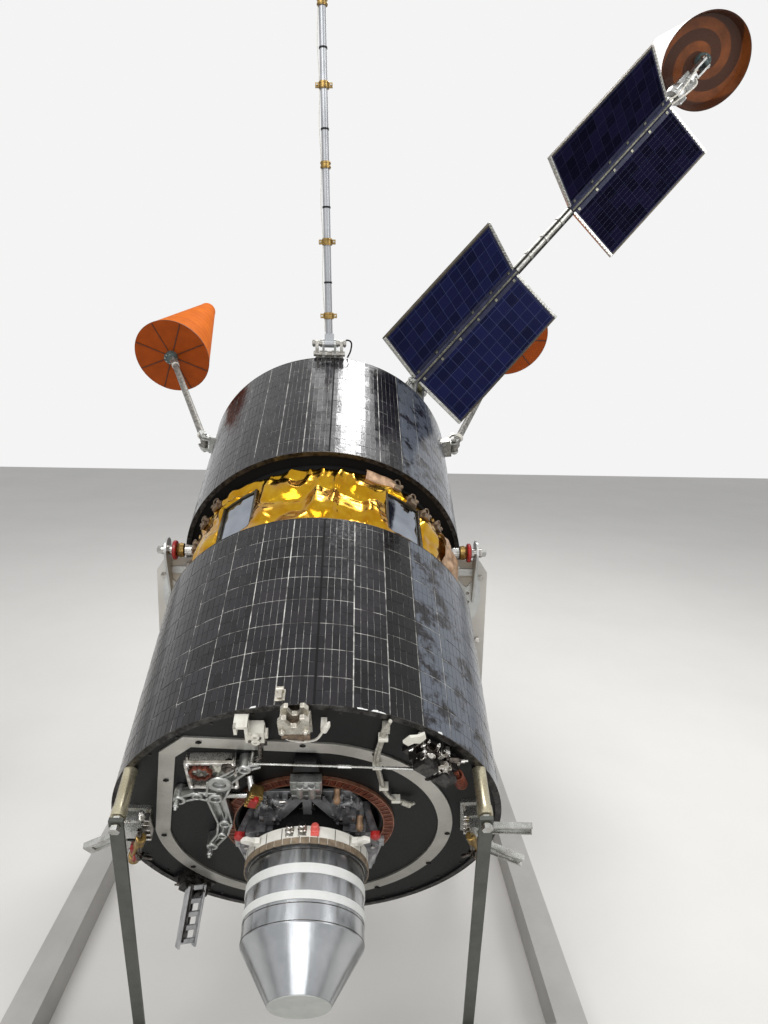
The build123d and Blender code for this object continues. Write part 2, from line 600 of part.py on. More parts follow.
def trunnion_bracket():
    """The right-hand bracket: a round-topped ear on the side of a perforated, leaf-shaped plate."""
    inner, outer, top = GUSSET_TOP
    corner_in, corner_out, tip = beside_ear((inner, top)), beside_ear((outer, top)), beside_ear(GUSSET_TIP)
    bulge_in, bulge_out, bulge_z = GUSSET_BULGE
    leaf = make_face(
        Line(corner_in, corner_out)
        + ThreePointArc(corner_out, beside_ear((bulge_out, bulge_z)), tip)
        + ThreePointArc(tip, beside_ear((bulge_in, bulge_z)), corner_in))
    corners = [Pos(*beside_ear(at)) * Circle(WINDOW_CORNER_R) for at in WINDOW_CORNERS]
    leaf -= make_hull([edge for corner in corners for edge in corner.edges()])
    for at in GUSSET_HOLES:
        leaf -= Pos(*beside_ear(at)) * Circle(GUSSET_HOLE_R)
    ear_foot_y = GUSSET_Y + GUSSET_T - EAR_FOOT_R
    ear = make_hull([
        *(Pos(trunnion_at.Y, trunnion_at.Z) * Circle(EAR_R)).edges(),
        *(Pos(ear_foot_y, EAR_FOOT_Z) * Circle(EAR_FOOT_R)).edges()])
    ear = Plane(origin=(EAR_X, 0, 0), x_dir=(0, 1, 0), z_dir=(1, 0, 0)) * extrude(ear, EAR_T)
    behind = block((0, GUSSET_Y + GUSSET_T, 0), (2 * EAR_X, 2 * GUSSET_Y, 2 * UPRIGHT_TOP_Z))
    bracket = ear + front_plate(leaf, GUSSET_Y, GUSSET_T) - behind
    return bracket - across(EAR_X - EAR_T, EAR_X + 2 * EAR_T, TRUNNION_R + PIN_FIT)


def upright():
    """The right-hand upright: a bevelled plate on a post that slopes back to the middle beam."""
    inner, outer = EAR_X + UPRIGHT_INNER, EAR_X + UPRIGHT_OUTER
    bevel_x, bevel_z = UPRIGHT_BEVEL
    outline = Polyline(
        (inner, UPRIGHT_LOW_Z), (outer, UPRIGHT_LOW_Z), (outer, UPRIGHT_TOP_Z - bevel_z),
        (outer - bevel_x, UPRIGHT_TOP_Z), (inner, UPRIGHT_TOP_Z), close=True)
    foot = Vector(EAR_X + POST_AT, MIDDLE_BEAM_Y, FLOOR_BEAM_HEIGHT)
    head = Vector(EAR_X + POST_AT, *POST_TOP)
    post_plane = Plane(origin=foot, x_dir=(1, 0, 0), z_dir=head - foot)
    post = post_plane * Pos(0, 0, -POST_SIZE) * extrude(
        Rectangle(POST_SIZE, POST_SIZE), (head - foot).length + 2 * POST_SIZE)
    post &= block((0, upright_front, FLOOR_BEAM_HEIGHT), (2 * EAR_X, 2 * MIDDLE_BEAM_Y, POST_TOP[1] + POST_SIZE / 2))
    return front_plate(make_face(outline), upright_front, UPRIGHT_T) + post


def trunnion_bolt():
    """The right-hand bolt: from its boss on the belt through the ear, with its nuts."""
    bolt = across(TRUNNION_BOSS_END - TRUNNION_R, EAR_X + BOLT_END, TRUNNION_R)
    bolt += across(TRUNNION_BOSS_END - TRUNNION_BOSS_T, TRUNNION_BOSS_END, TRUNNION_BOSS_R)
    for low, high in NUT_SPANS:
        bolt += across(EAR_X + low, EAR_X + high, NUT_R)
    return bolt - SATELLITE * Pos(0, 0, BELT_START) * Cylinder(BELT_R + SEAT_GAP, 4 * BELT_LENGTH)


ring_middle = EAR_X + RING_AT
ring = across(ring_middle - RING_T / 2, ring_middle + RING_T / 2, RING_R)
ring -= across(ring_middle - RING_T, ring_middle + RING_T, TRUNNION_R + SEAT_GAP)
bolt = trunnion_bolt()
pieces["trunnion_rings"] = Compound([ring, ring.mirror(Plane.YZ)])
pieces["trunnion_bolts"] = Compound([bolt, bolt.mirror(Plane.YZ)])
for stem, shape in (("upright", upright()), ("trunnion_bracket", trunnion_bracket())):
    pieces[f"{stem}_right"] = shape
    pieces[f"{stem}_left"] = shape.mirror(Plane.YZ)

for name, side in rails:
    standoff_end = -SEAT_GAP - STANDOFF_LENGTH
    standoff = extrude(Circle(STANDOFF_R), STANDOFF_LENGTH) + extrude(
        Circle(STANDOFF_COLLAR_R), STANDOFF_COLLAR_LENGTH)
    standoff += extrude(Circle(STUD_R), -STUD_LENGTH)
    on_satellite(f"standoff_{name}", Pos(-side * STANDOFF_X, STANDOFF_Y, standoff_end) * standoff)
    eye = SATELLITE.from_local_coords(Vector(-side * STANDOFF_X, STANDOFF_Y, standoff_end - STUD_LENGTH / 2))
    foot = Vector(eye.X + side * LEG_SPREAD[name], LEG_FOOT_Y, FLOOR_BEAM_HEIGHT)
    leg_plane = Plane(origin=foot, x_dir=(1, 0, 0), z_dir=eye - foot)
    reach = (eye - foot).length
    leg = leg_plane * block(
        (-LEG_WIDTH / 2, -LEG_T / 2, -LEG_WIDTH), (LEG_WIDTH / 2, LEG_T / 2, reach + LEG_WIDTH / 2))
    leg &= block((-2 * DRUM_R, -FACE_HEIGHT, FLOOR_BEAM_HEIGHT), (2 * DRUM_R, FACE_HEIGHT, 2 * FACE_HEIGHT))
    leg -= SATELLITE * Pos(-side * STANDOFF_X, STANDOFF_Y, standoff_end) * Cylinder(
        STUD_R + PIN_FIT, 4 * STUD_LENGTH)
    pieces[f"leg_{name}"] = leg

# The row's origin: on the floor, under the middle of the whole object's box
box = Compound(list(pieces.values())).bounding_box()
origin = Vector((box.min.X + box.max.X) / 2, (box.min.Y + box.max.Y) / 2, box.min.Z)

os.makedirs("parts", exist_ok=True)
for name, shape in pieces.items():
    export_step(Pos(-origin.X, -origin.Y, -origin.Z) * shape, f"parts/{name}.step")

# Where the joints are, in the row's frame
hinges = (
    ("mast", mast_plane.location), ("wing", wing_plane.location), ("end_antenna", end_frame),
    ("right_antenna", arm_planes["right"].location), ("left_antenna", arm_planes["left"].location))
for name, place in hinges:
    frame = Plane(SATELLITE.location * place)
    pin = frame.origin - origin
    print(name, "pin", [round(v, 3) for v in pin], "axis", [round(v, 6) for v in frame.y_dir])
print("origin", [round(v, 3) for v in origin], "size", [round(v, 3) for v in box.size])
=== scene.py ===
"""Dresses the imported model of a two-drum communications satellite on its museum stand.

Sizes are millimetres unless a name says otherwise. The satellite has its own frame: the origin is
the centre of the bottom face, X points to nine o'clock, Y to twelve, and Z up the drums' axis. A
clock angle is counted in degrees from nine o'clock through twelve (90) to three o'clock (180).
"""
from __future__ import annotations

import json
import logging
import math
import random
from dataclasses import dataclass, field
from enum import Enum
from typing import Iterable, Sequence

import bmesh
import bpy
from mathutils import Matrix, Vector, noise

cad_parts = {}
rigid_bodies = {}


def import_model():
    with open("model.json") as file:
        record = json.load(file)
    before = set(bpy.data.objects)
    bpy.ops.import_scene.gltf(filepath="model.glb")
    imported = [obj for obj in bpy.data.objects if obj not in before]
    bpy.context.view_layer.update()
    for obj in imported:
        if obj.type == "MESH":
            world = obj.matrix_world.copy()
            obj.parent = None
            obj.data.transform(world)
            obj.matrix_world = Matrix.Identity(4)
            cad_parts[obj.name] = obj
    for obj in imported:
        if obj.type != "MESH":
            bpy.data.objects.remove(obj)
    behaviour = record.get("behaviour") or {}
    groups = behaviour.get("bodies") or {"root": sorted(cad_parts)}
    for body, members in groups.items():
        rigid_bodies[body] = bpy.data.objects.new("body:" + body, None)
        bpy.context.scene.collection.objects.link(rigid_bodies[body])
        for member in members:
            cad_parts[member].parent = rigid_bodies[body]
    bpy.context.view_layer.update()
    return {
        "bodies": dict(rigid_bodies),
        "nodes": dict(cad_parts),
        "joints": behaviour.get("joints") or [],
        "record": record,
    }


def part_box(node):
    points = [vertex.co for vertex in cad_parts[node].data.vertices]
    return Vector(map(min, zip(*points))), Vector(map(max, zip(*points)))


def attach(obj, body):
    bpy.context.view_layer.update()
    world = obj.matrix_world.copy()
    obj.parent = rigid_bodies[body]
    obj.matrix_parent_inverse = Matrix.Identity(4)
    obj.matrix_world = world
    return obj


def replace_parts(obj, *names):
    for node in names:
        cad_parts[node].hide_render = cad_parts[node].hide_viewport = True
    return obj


LOG = logging.getLogger("satellite")
MM = 0.001
DRUM_R = 400.0
BELT_R = 355.0
LOWER_LENGTH = 524.0
UPPER_START = 801.0
UPPER_LENGTH = 544.0
TOP_STATION = UPPER_START + UPPER_LENGTH
AXIS_RISE = 26.8
Point = Sequence[float]
Tree = bpy.types.NodeTree
Socket = bpy.types.NodeSocket

# The hinge pins on the top rim: clock angles, distances from the axis, heights over the top and the
# wing's lean from the axis
MAST_CLOCK = 90.0
WING_CLOCK = 138.5
RIGHT_CLOCK = 172.0
LEFT_CLOCK = 8.0
PIN_R = 440.0
WING_PIN_R = 396.0
MAST_PIN_RISE = 20.0
WING_PIN_RISE = 74.0
SIDE_PIN_RISE = 15.0
WING_LEAN = 62.2
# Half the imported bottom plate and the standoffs' spots, which the nuts share
PLATE_HALF = 9.0
STANDOFF_X = 333.0
STANDOFF_Y = 200.0


class Body(Enum):
    """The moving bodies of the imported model."""

    SATELLITE = "satellite"
    MAST = "mast"
    WING = "wing"
    END = "end_antenna"
    LEFT = "left_antenna"
    RIGHT = "right_antenna"


class Template(Enum):
    """The small solid that a repeat sets on its spots."""

    BOX = "GeometryNodeMeshCube"
    ROUND = "GeometryNodeMeshCylinder"


def add_node(tree: Tree, kind: str, inputs: dict | None = None, **settings) -> bpy.types.Node:
    """Add a node to a tree.

    Args:
        tree: The tree that gets the node.
        kind: The node's type name.
        inputs: Input name or number to a value, or to the socket that it is linked from.
        settings: The node's own properties.

    Returns:
        The new node.
    """
    node = tree.nodes.new(kind)
    for key, value in settings.items():
        setattr(node, key, value)
    for key, value in (inputs or {}).items():
        if isinstance(value, Socket):
            tree.links.new(value, node.inputs[key])
        else:
            node.inputs[key].default_value = value
    return node


def linear(colour: str) -> tuple[float, float, float, float]:
    """Turn an sRGB hex colour to linear light.

    Args:
        colour: The colour as #rrggbb.

    Returns:
        Red, green, blue and an alpha of 1.
    """
    parts = [int(colour[i:i + 2], 16) / 255 for i in (1, 3, 5)]
    red, green, blue = (c / 12.92 if c <= 0.04045 else ((c + 0.055) / 1.055) ** 2.4 for c in parts)
    return red, green, blue, 1.0


def shift(x: float, y: float, z: float) -> Matrix:
    """A move in millimetres."""
    return Matrix.Translation(Vector((x, y, z)) * MM)


def turn(degrees: float, axis: str) -> Matrix:
    """A turn about one axis, in degrees."""
    return Matrix.Rotation(math.radians(degrees), 4, axis)


def outward(x: float, y: float, z: float) -> Matrix:
    """A move in millimetres whose Z axis points away from the body, as fittings on the face stand."""
    return shift(x, y, z) @ turn(180, "X")


def clock_frame(base: Matrix, clock: float, radius: float, station: float) -> Matrix:
    """A frame on the drums' side: X radial, Y along growing clock angles, Z up the axis."""
    return base @ turn(clock, "Z") @ shift(radius, 0, station)


def arm_frame(base: Matrix, clock: float, radius: float, height: float, lean: float) -> Matrix:
    """The frame of an arm on the top rim: Z along the arm and Y along its hinge pin."""
    return clock_frame(base, clock, radius, TOP_STATION + height) @ turn(lean, "Y")


def satellite_frame() -> Matrix:
    """Find the satellite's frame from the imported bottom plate, whose middle is 9 mm up the axis.

    Returns:
        The frame, in metres.
    """
    low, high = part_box("bottom_plate")
    rise = math.radians(AXIS_RISE)
    axis = Vector((0, math.cos(rise), math.sin(rise)))
    up = Vector((0, -math.sin(rise), math.cos(rise)))
    origin = (low + high) / 2 - axis * PLATE_HALF * MM
    return Matrix(((-1, up.x, axis.x, origin.x), (0, up.y, axis.y, origin.y),
                   (0, up.z, axis.z, origin.z), (0, 0, 0, 1)))


def smooth_path(points: Sequence[Point], steps: int = 6) -> list[Vector]:
    """Round a route: points along a Catmull-Rom curve through the given ones.

    Args:
        points: The points that the route passes through.
        steps: How many points each stretch gets.

    Returns:
        The points of the rounded route.
    """
    knots = [Vector(p) for p in points]
    knots = [knots[0] * 2 - knots[1], *knots, knots[-1] * 2 - knots[-2]]
    route = []
    for a, b, c, d in zip(knots, knots[1:], knots[2:], knots[3:]):
        for step in range(steps):
            t = step / steps
            route.append(((b * 2) + (c - a) * t + (a * 2 - b * 5 + c * 4 - d) * t ** 2
                          + (b * 3 - a - c * 3 + d) * t ** 3) / 2)
    return [*route, knots[-2]]


@dataclass(frozen=True)
class Finish:
    """A surface with a mottled colour and a fine grain.

    Pattern sizes are real millimetres. A grain that is too fine to show in the picture is drawn
    as coarse as it needs to be to show.
    """

    name: str
    colour: str
    second: str
    metallic: float = 0.0
    roughness: float = 0.5
    spread: float = 0.12
    mottle_mm: float = 60.0
    grain_mm: float = 3.0
    stretch: tuple[float, float, float] = (1.0, 1.0, 1.0)
    bump: float = 0.15
    contrast: float = 0.18
    specular: float = 0.5

    def pattern(self, tree: Tree, place: Socket) -> Socket:
        """Mix the two colours in soft patches.

        Args:
            tree: The material's node tree.
            place: The socket with the object coordinates.

        Returns:
            The socket with the colour.
        """
        patches = add_node(tree, "ShaderNodeTexNoise", {
            "Vector": place, "Scale": 1 / (self.mottle_mm * MM), "Detail": 5.0, "Roughness": 0.6})
        share = remap(tree, patches.outputs[0], 0.5 - self.contrast, 0.5 + self.contrast)
        return mixed(tree, share, linear(self.colour), linear(self.second))

    def relief(self, tree: Tree, place: Socket,
               grain: Socket) -> Socket:
        """Turn the grain into the shader's normal.

        Args:
            tree: The material's node tree.
            place: The socket with the object coordinates; not used.
            grain: The socket with the grain.

        Returns:
            The socket with the normal.
        """
        return add_node(tree, "ShaderNodeBump", {
            "Height": grain, "Strength": self.bump, "Distance": self.grain_mm * MM * 0.3}).outputs[0]

    def material(self) -> bpy.types.Material:
        """Build the material once and hand it out after that.

        Returns:
            The material.
        """
        known = bpy.data.materials.get(self.name)
        if known:
            return known
        made = bpy.data.materials.new(self.name)
        made.use_nodes = True
        tree = made.node_tree
        tree.nodes.clear()
        place = add_node(tree, "ShaderNodeTexCoord").outputs["Object"]
        colour = self.pattern(tree, place)
        stretched = add_node(tree, "ShaderNodeMapping", {"Vector": place, "Scale": self.stretch})
        grain = add_node(tree, "ShaderNodeTexNoise", {
            "Vector": stretched.outputs[0], "Scale": 1 / (self.grain_mm * MM), "Detail": 3.0})
        rough = add_node(tree, "ShaderNodeMapRange", {
            "Value": grain.outputs[0], "From Min": 0.3, "From Max": 0.7,
            "To Min": max(self.roughness - self.spread, 0.03),
            "To Max": min(self.roughness + self.spread, 1.0)})
        shader = add_node(tree, "ShaderNodeBsdfPrincipled", {
            "Base Color": colour, "Metallic": self.metallic, "Roughness": rough.outputs[0],
            "Specular IOR Level": self.specular, "Normal": self.relief(tree, place, grain.outputs[0])})
        add_node(tree, "ShaderNodeOutputMaterial", {"Surface": shader.outputs[0]})
        return made


def maths(tree: Tree, operation: str, *values: Socket | float) -> Socket:
    """Work out one sum from sockets and numbers, and give its result."""
    return add_node(tree, "ShaderNodeMath", dict(enumerate(values)), operation=operation).outputs[0]


def remap(tree: Tree, value: Socket, start: float, end: float, top: float = 1.0) -> Socket:
    """Spread what a value does between start and end over 0 to top."""
    return add_node(tree, "ShaderNodeMapRange", {
        "Value": value, "From Min": start, "From Max": end, "To Max": top}).outputs[0]


def mixed(tree: Tree, share: Socket, low: object, high: object) -> Socket:
    """Mix two colours, each a value or a socket, by the share of the second."""
    return add_node(tree, "ShaderNodeMix", {0: share, 6: low, 7: high}, data_type="RGBA").outputs[2]


def local_axes(tree: Tree, place: Socket, frame: Matrix) -> bpy.types.Node:
    """Split the object coordinates into X, Y and Z of another frame.

    Args:
        tree: The material's node tree.
        place: The socket with the object coordinates.
        frame: The other frame.

    Returns:
        The node whose outputs are X, Y and Z.
    """
    inverse = frame.inverted()
    moved = add_node(tree, "ShaderNodeMapping", {
        "Vector": place, "Location": tuple(inverse.translation), "Rotation": tuple(inverse.to_euler())})
    return add_node(tree, "ShaderNodeSeparateXYZ", {0: moved.outputs[0]})


def angle_round(tree: Tree, axes: bpy.types.Node) -> Socket:
    """The angle round the Z axis, in radians."""
    return maths(tree, "ARCTAN2", axes.outputs[1], axes.outputs[0])


def distance_off(tree: Tree, axes: bpy.types.Node) -> Socket:
    """The distance from the Z axis, in metres."""
    squares = [maths(tree, "MULTIPLY", axes.outputs[i], axes.outputs[i]) for i in (0, 1)]
    return maths(tree, "POWER", maths(tree, "ADD", *squares), 0.5)


def counted(tree: Tree, value: Socket, step: float, start: float = 0.0) -> Socket:
    """Number the steps along a value, from a start."""
    return maths(tree, "FLOOR", maths(tree, "MULTIPLY_ADD", value, 1 / step, -start / step))


def random_shade(tree: Tree, column: Socket, row: Socket) -> Socket:
    """A shade of its own, from 0 to 1, for every column and row."""
    spot = add_node(tree, "ShaderNodeCombineXYZ", {0: column, 1: row})
    return add_node(tree, "ShaderNodeTexWhiteNoise", {0: spot.outputs[0]}).outputs[0]


@dataclass(frozen=True)
class CellFinish(Finish):
    """Silicon solar cells under glass: near black, each string and cell a shade of its own."""

    frame: Matrix = field(default_factory=Matrix)
    group_degrees: float = 10.0
    group_start: float = 2.6
    row_mm: float = 66.0
    dark_clock: float = 117.7
    dark_half: float = 4.9
    worn_from: float = 122.5
    streak_m: tuple[float, float] = (0.020, 0.0022)

    def pattern(self, tree: Tree, place: Socket) -> Socket:
        """Give every group and cell its shade, with streaks across and a bluish side.

        Args:
            tree: The material's node tree.
            place: The socket with the object coordinates.

        Returns:
            The socket with the colour.
        """
        axes = local_axes(tree, place, self.frame)
        angle, along = angle_round(tree, axes), axes.outputs[2]
        start = math.radians(self.group_start)
        shades = []
        for degrees, length in ((self.group_degrees, self.row_mm),
                                (self.group_degrees / 5, self.row_mm / 2)):
            column = counted(tree, angle, math.radians(degrees), start)
            shades.append(random_shade(tree, column, counted(tree, along, length * MM)))
        wide, tall = self.streak_m
        fine = add_node(tree, "ShaderNodeCombineXYZ",
                        {0: maths(tree, "MULTIPLY", angle, DRUM_R * MM / wide),
                         1: maths(tree, "MULTIPLY", along, 1 / tall)})
        streaks = add_node(tree, "ShaderNodeTexNoise",
                           {"Vector": fine.outputs[0], "Scale": 1.0, "Detail": 3.0})
        tone = maths(tree, "MULTIPLY_ADD", streaks.outputs[0], 1.4, maths(tree, "ADD", *shades))
        base = mixed(tree, remap(tree, tone, 0.7, 2.4), linear(self.colour), linear(self.second))
        dark = maths(tree, "COMPARE", angle, math.radians(self.dark_clock),
                     math.radians(self.dark_half))
        base = mixed(tree, dark, base, linear("#070708"))
        side = remap(tree, angle, math.radians(self.worn_from), math.radians(self.worn_from + 1))
        worn = add_node(tree, "ShaderNodeTexNoise", {
            "Vector": place, "Scale": 14.0, "Detail": 6.0, "Roughness": 0.7})
        share = maths(tree, "MULTIPLY", side, remap(tree, worn.outputs[0], 0.42, 0.50, 0.75))
        return mixed(tree, share, base, linear("#5f656f"))


@dataclass(frozen=True)
class PanelFinish(Finish):
    """Wing panel cells: navy black glass with a faint square grid."""

    frame: Matrix = field(default_factory=Matrix)
    pitch_mm: float = 40.0
    line_mm: float = 1.4
    line_share: float = 0.45

    def pattern(self, tree: Tree, place: Socket) -> Socket:
        """Draw the grid in the spar's frame, counted along the spar and away from it.

        Args:
            tree: The material's node tree.
            place: The socket with the object coordinates.

        Returns:
            The socket with the colour.
        """
        axes = local_axes(tree, place, self.frame)
        ways, pitch = (distance_off(tree, axes), axes.outputs[2]), self.pitch_mm * MM
        lines = [maths(tree, "LESS_THAN", maths(tree, "FLOORED_MODULO", way, pitch), self.line_mm * MM)
                 for way in ways]
        faint = maths(tree, "MULTIPLY", maths(tree, "MAXIMUM", *lines), self.line_share)
        shade = random_shade(tree, *(counted(tree, way, pitch) for way in ways))
        cell = mixed(tree, shade, linear(self.colour), linear(self.second))
        return mixed(tree, faint, cell, linear("#4c5374"))


@dataclass(frozen=True)
class SpiralFinish(Finish):
    """Amber resin cone with the dark conductor spirals that run round it."""

    frame: Matrix = field(default_factory=Matrix)
    arms: float = 2.0
    pitch_mm: float = 74.0

    def pattern(self, tree: Tree, place: Socket) -> Socket:
        """Draw the spiral from the angle and the distance from the cone's axis.

        Args:
            tree: The material's node tree.
            place: The socket with the object coordinates.

        Returns:
            The socket with the colour.
        """
        axes = local_axes(tree, place, self.frame)
        turned = maths(tree, "MULTIPLY", angle_round(tree, axes), self.arms / math.tau)
        wound = maths(tree, "MULTIPLY_ADD", distance_off(tree, axes), 1 / (self.pitch_mm * MM), turned)
        band = remap(tree, maths(tree, "FLOORED_MODULO", wound, 1.0), 0.44, 0.5)
        return mixed(tree, band, super().pattern(tree, place), linear("#40210f"))


@dataclass(frozen=True)
class FoilFinish(Finish):
    """Crumpled foil: sharp creases between facets a few centimetres across."""

    creases: tuple[tuple[float, float, float], ...] = ((11.0, 0.32, 0.014), (30.0, 0.16, 0.005))

    def relief(self, tree: Tree, place: Socket, grain: Socket) -> Socket:
        """Let two sizes of cells meet in creases under the fine grain.

        Args:
            tree: The material's node tree.
            place: The socket with the object coordinates.
            grain: The socket with the grain.

        Returns:
            The socket with the normal.
        """
        bent = add_node(tree, "ShaderNodeTexNoise", {"Vector": place, "Scale": 16.0, "Detail": 2.0})
        warped = add_node(tree, "ShaderNodeVectorMath", {0: bent.outputs[1], 1: (0.05, 0.05, 0.05)},
                          operation="MULTIPLY")
        moved = add_node(tree, "ShaderNodeVectorMath", {0: place, 1: warped.outputs[0]},
                         operation="ADD")
        under = {}
        for scale, strength, distance in self.creases:
            cells = add_node(tree, "ShaderNodeTexVoronoi", {"Vector": moved.outputs[0], "Scale": scale})
            crease = {"Height": cells.outputs[0], "Strength": strength, "Distance": distance, **under}
            under = {"Normal": add_node(tree, "ShaderNodeBump", crease).outputs[0]}
        fine = {"Height": grain, "Strength": self.bump, "Distance": 0.0006, **under}
        return add_node(tree, "ShaderNodeBump", fine).outputs[0]


@dataclass(frozen=True)
class BedFinish(Finish):
    """The drums' bed: bare bright lines outside, worn dark in places, and black paint inside."""

    frame: Matrix = field(default_factory=Matrix)
    inside_mm: float = DRUM_R - 1.5

    def pattern(self, tree: Tree, place: Socket) -> Socket:
        """Blacken what lies nearer to the axis than the drum's outer face.

        Args:
            tree: The material's node tree.
            place: The socket with the object coordinates.

        Returns:
            The socket with the colour.
        """
        away = distance_off(tree, local_axes(tree, place, self.frame))
        outer = maths(tree, "GREATER_THAN", away, self.inside_mm * MM)
        return mixed(tree, outer, linear("#080808"), super().pattern(tree, place))


@dataclass(frozen=True)
class ConeFinish(Finish):
    """Orange lacquer on a cone, with the darker runs that its windings show through."""

    frame: Matrix = field(default_factory=Matrix)
    pitch_mm: float = 46.0

    def pattern(self, tree: Tree, place: Socket) -> Socket:
        """Shade soft rings along the cone's axis under the worn lacquer.

        Args:
            tree: The material's node tree.
            place: The socket with the object coordinates.

        Returns:
            The socket with the colour.
        """
        along = local_axes(tree, place, self.frame).outputs[2]
        wave = maths(tree, "SINE", maths(tree, "MULTIPLY", along, math.tau / (self.pitch_mm * MM)))
        return mixed(tree, remap(tree, wave, 0.2, 1.0, 0.3), super().pattern(tree, place),
                     linear("#a04a0c"))


class Shape:
    """Gathers closed solids into one mesh, drawn in millimetres in a frame of its own."""

    def __init__(self, frame: Matrix) -> None:
        """Start an empty mesh in a frame."""
        self.frame = frame
        self.mesh = bmesh.new()

    def add(self, points: Iterable[Point], faces: Iterable[Sequence[int]],
            at: Matrix = Matrix()) -> None:
        """Add vertices and faces that are placed by a further matrix.

        Args:
            points: The vertices, in millimetres.
            faces: The vertices' numbers, for each face.
            at: Where they stand in the shape's frame.
        """
        place = self.frame @ at
        made = [self.mesh.verts.new(place @ (Vector(p) * MM)) for p in points]
        for face in faces:
            self.mesh.faces.new([made[i] for i in face])

    def box(self, low: Point, high: Point, at: Matrix = Matrix()) -> None:
        """Add a box between two corners."""
        corners = [(x, y, z) for x in (low[0], high[0]) for y in (low[1], high[1])
                   for z in (low[2], high[2])]
        self.add(corners, ((0, 1, 3, 2), (4, 6, 7, 5), (0, 4, 5, 1), (2, 3, 7, 6), (0, 2, 6, 4),
                           (1, 5, 7, 3)), at)

    def lathe(self, profile: Sequence[tuple[float, float]], sides: int = 40, at: Matrix = Matrix(),
              ring: bool = False) -> None:
        """Turn a profile of radius and height round Z.

        Args:
            profile: The points of the outline, from the bottom to the top.
            sides: How many flats make the circle.
            at: Where the axis stands.
            ring: Whether the profile closes on itself, as a tube's does.
        """
        points = [(r * math.cos(a), r * math.sin(a), z) for r, z in profile
                  for a in (math.tau * i / sides for i in range(sides))]
        count = len(profile)
        faces = []
        for row in range(count if ring else count - 1):
            other = (row + 1) % count
            for i in range(sides):
                j = (i + 1) % sides
                faces.append((row * sides + i, row * sides + j, other * sides + j, other * sides + i))
        if not ring:
            faces.append(tuple(reversed(range(sides))))
            faces.append(tuple(range((count - 1) * sides, count * sides)))
        self.add(points, faces, at)

    def bar(self, start: Point, end: Point, radius: float, sides: int = 16,
            end_radius: float | None = None) -> None:
        """Add a round bar between two points, which may taper.

        Args:
            start: The middle of one end.
            end: The middle of the other.
            radius: The radius at the start.
            sides: How many flats make the round.
            end_radius: The radius at the end, if it differs.
        """
        run = Vector(end) - Vector(start)
        at = Matrix.Translation(Vector(start) * MM) @ run.to_track_quat("Z", "Y").to_matrix().to_4x4()
        last = radius if end_radius is None else end_radius
        edge = min(radius, last, run.length / 2) * 0.12
        self.lathe(((radius - edge, 0), (radius, edge), (last, run.length - edge),
                    (last - edge, run.length)), sides, at)

    def pipe(self, points: Sequence[Point], radius: float, sides: int = 10) -> None:
        """Sweep a round section along points.

        Args:
            points: The points of its centre line.
            radius: The radius of the section.
            sides: How many flats make the round.
        """
        route = [Vector(p) for p in points]
        side = (route[1] - route[0]).orthogonal().normalized()
        rings = []
        for i, point in enumerate(route):
            ahead = (route[min(i + 1, len(route) - 1)] - route[max(i - 1, 0)]).normalized()
            side = (side - ahead * side.dot(ahead)).normalized()
            other = ahead.cross(side)
            rings += [point + (side * math.cos(a) + other * math.sin(a)) * radius
                      for a in (math.tau * k / sides for k in range(sides))]
        faces = [(r * sides + k, r * sides + (k + 1) % sides, (r + 1) * sides + (k + 1) % sides,
                  (r + 1) * sides + k) for r in range(len(route) - 1) for k in range(sides)]
        last = (len(route) - 1) * sides
        faces += [tuple(reversed(range(sides))), tuple(range(last, last + sides))]
        self.add(rings, faces)

    def plate(self, outline: Sequence[tuple[float, float]], low: float, high: float,
              at: Matrix = Matrix()) -> None:
        """Add a flat plate with the given outline, from one height to another.

        Args:
            outline: The corners, going round.
            low: The height of one face.
            high: The height of the other.
            at: Where the plate stands.
        """
        count = len(outline)
        points = [(x, y, z) for z in (low, high) for x, y in outline]
        faces = [tuple(reversed(range(count))), tuple(range(count, 2 * count))]
        faces += [(i, (i + 1) % count, count + (i + 1) % count, count + i) for i in range(count)]
        self.add(points, faces, at)

    def ring(self, inner: float, outer: float, low: float, high: float, sides: int = 32) -> None:
        """Add a ring round Z with a square section, between two radii and two heights."""
        self.lathe(((inner, low), (outer, low), (outer, high), (inner, high)), sides, ring=True)

    def piece(self, name: str, finish: Finish, slot: str, bevel_mm: float = 0.0,
              body: Body = Body.SATELLITE, sharp: float = 35.0, tidy: bool = True) -> bpy.types.Object:
        """Turn the mesh into a piece of the scene.

        Args:
            name: The piece's name.
            finish: Its surface.
            slot: The record's slot; not used.
            bevel_mm: The width of the bevel on its sharp edges.
            body: The body that it rides on.
            sharp: Edges that turn by more degrees than this stay sharp.
            tidy: Whether the normals are recalculated.

        Returns:
            The new object.
        """
        if tidy:
            bmesh.ops.recalc_face_normals(self.mesh, faces=self.mesh.faces)
        for edge in self.mesh.edges:
            edge.smooth = edge.calc_face_angle(0.0) < math.radians(sharp)
        for face in self.mesh.faces:
            face.smooth = True
        data = bpy.data.meshes.new(name)
        self.mesh.to_mesh(data)
        self.mesh.free()
        made = bpy.data.objects.new(name, data)
        bpy.context.scene.collection.objects.link(made)
        data.materials.append(finish.material())
        if bevel_mm:
            bevel = made.modifiers.new("edges", "BEVEL")
            bevel.width, bevel.segments, bevel.limit_method = bevel_mm * MM, 2, "ANGLE"
            bevel.angle_limit = math.radians(40)
        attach(made, body.value)
        LOG.info("%s: %d faces on %s", name, len(data.polygons), body.value)
        return made


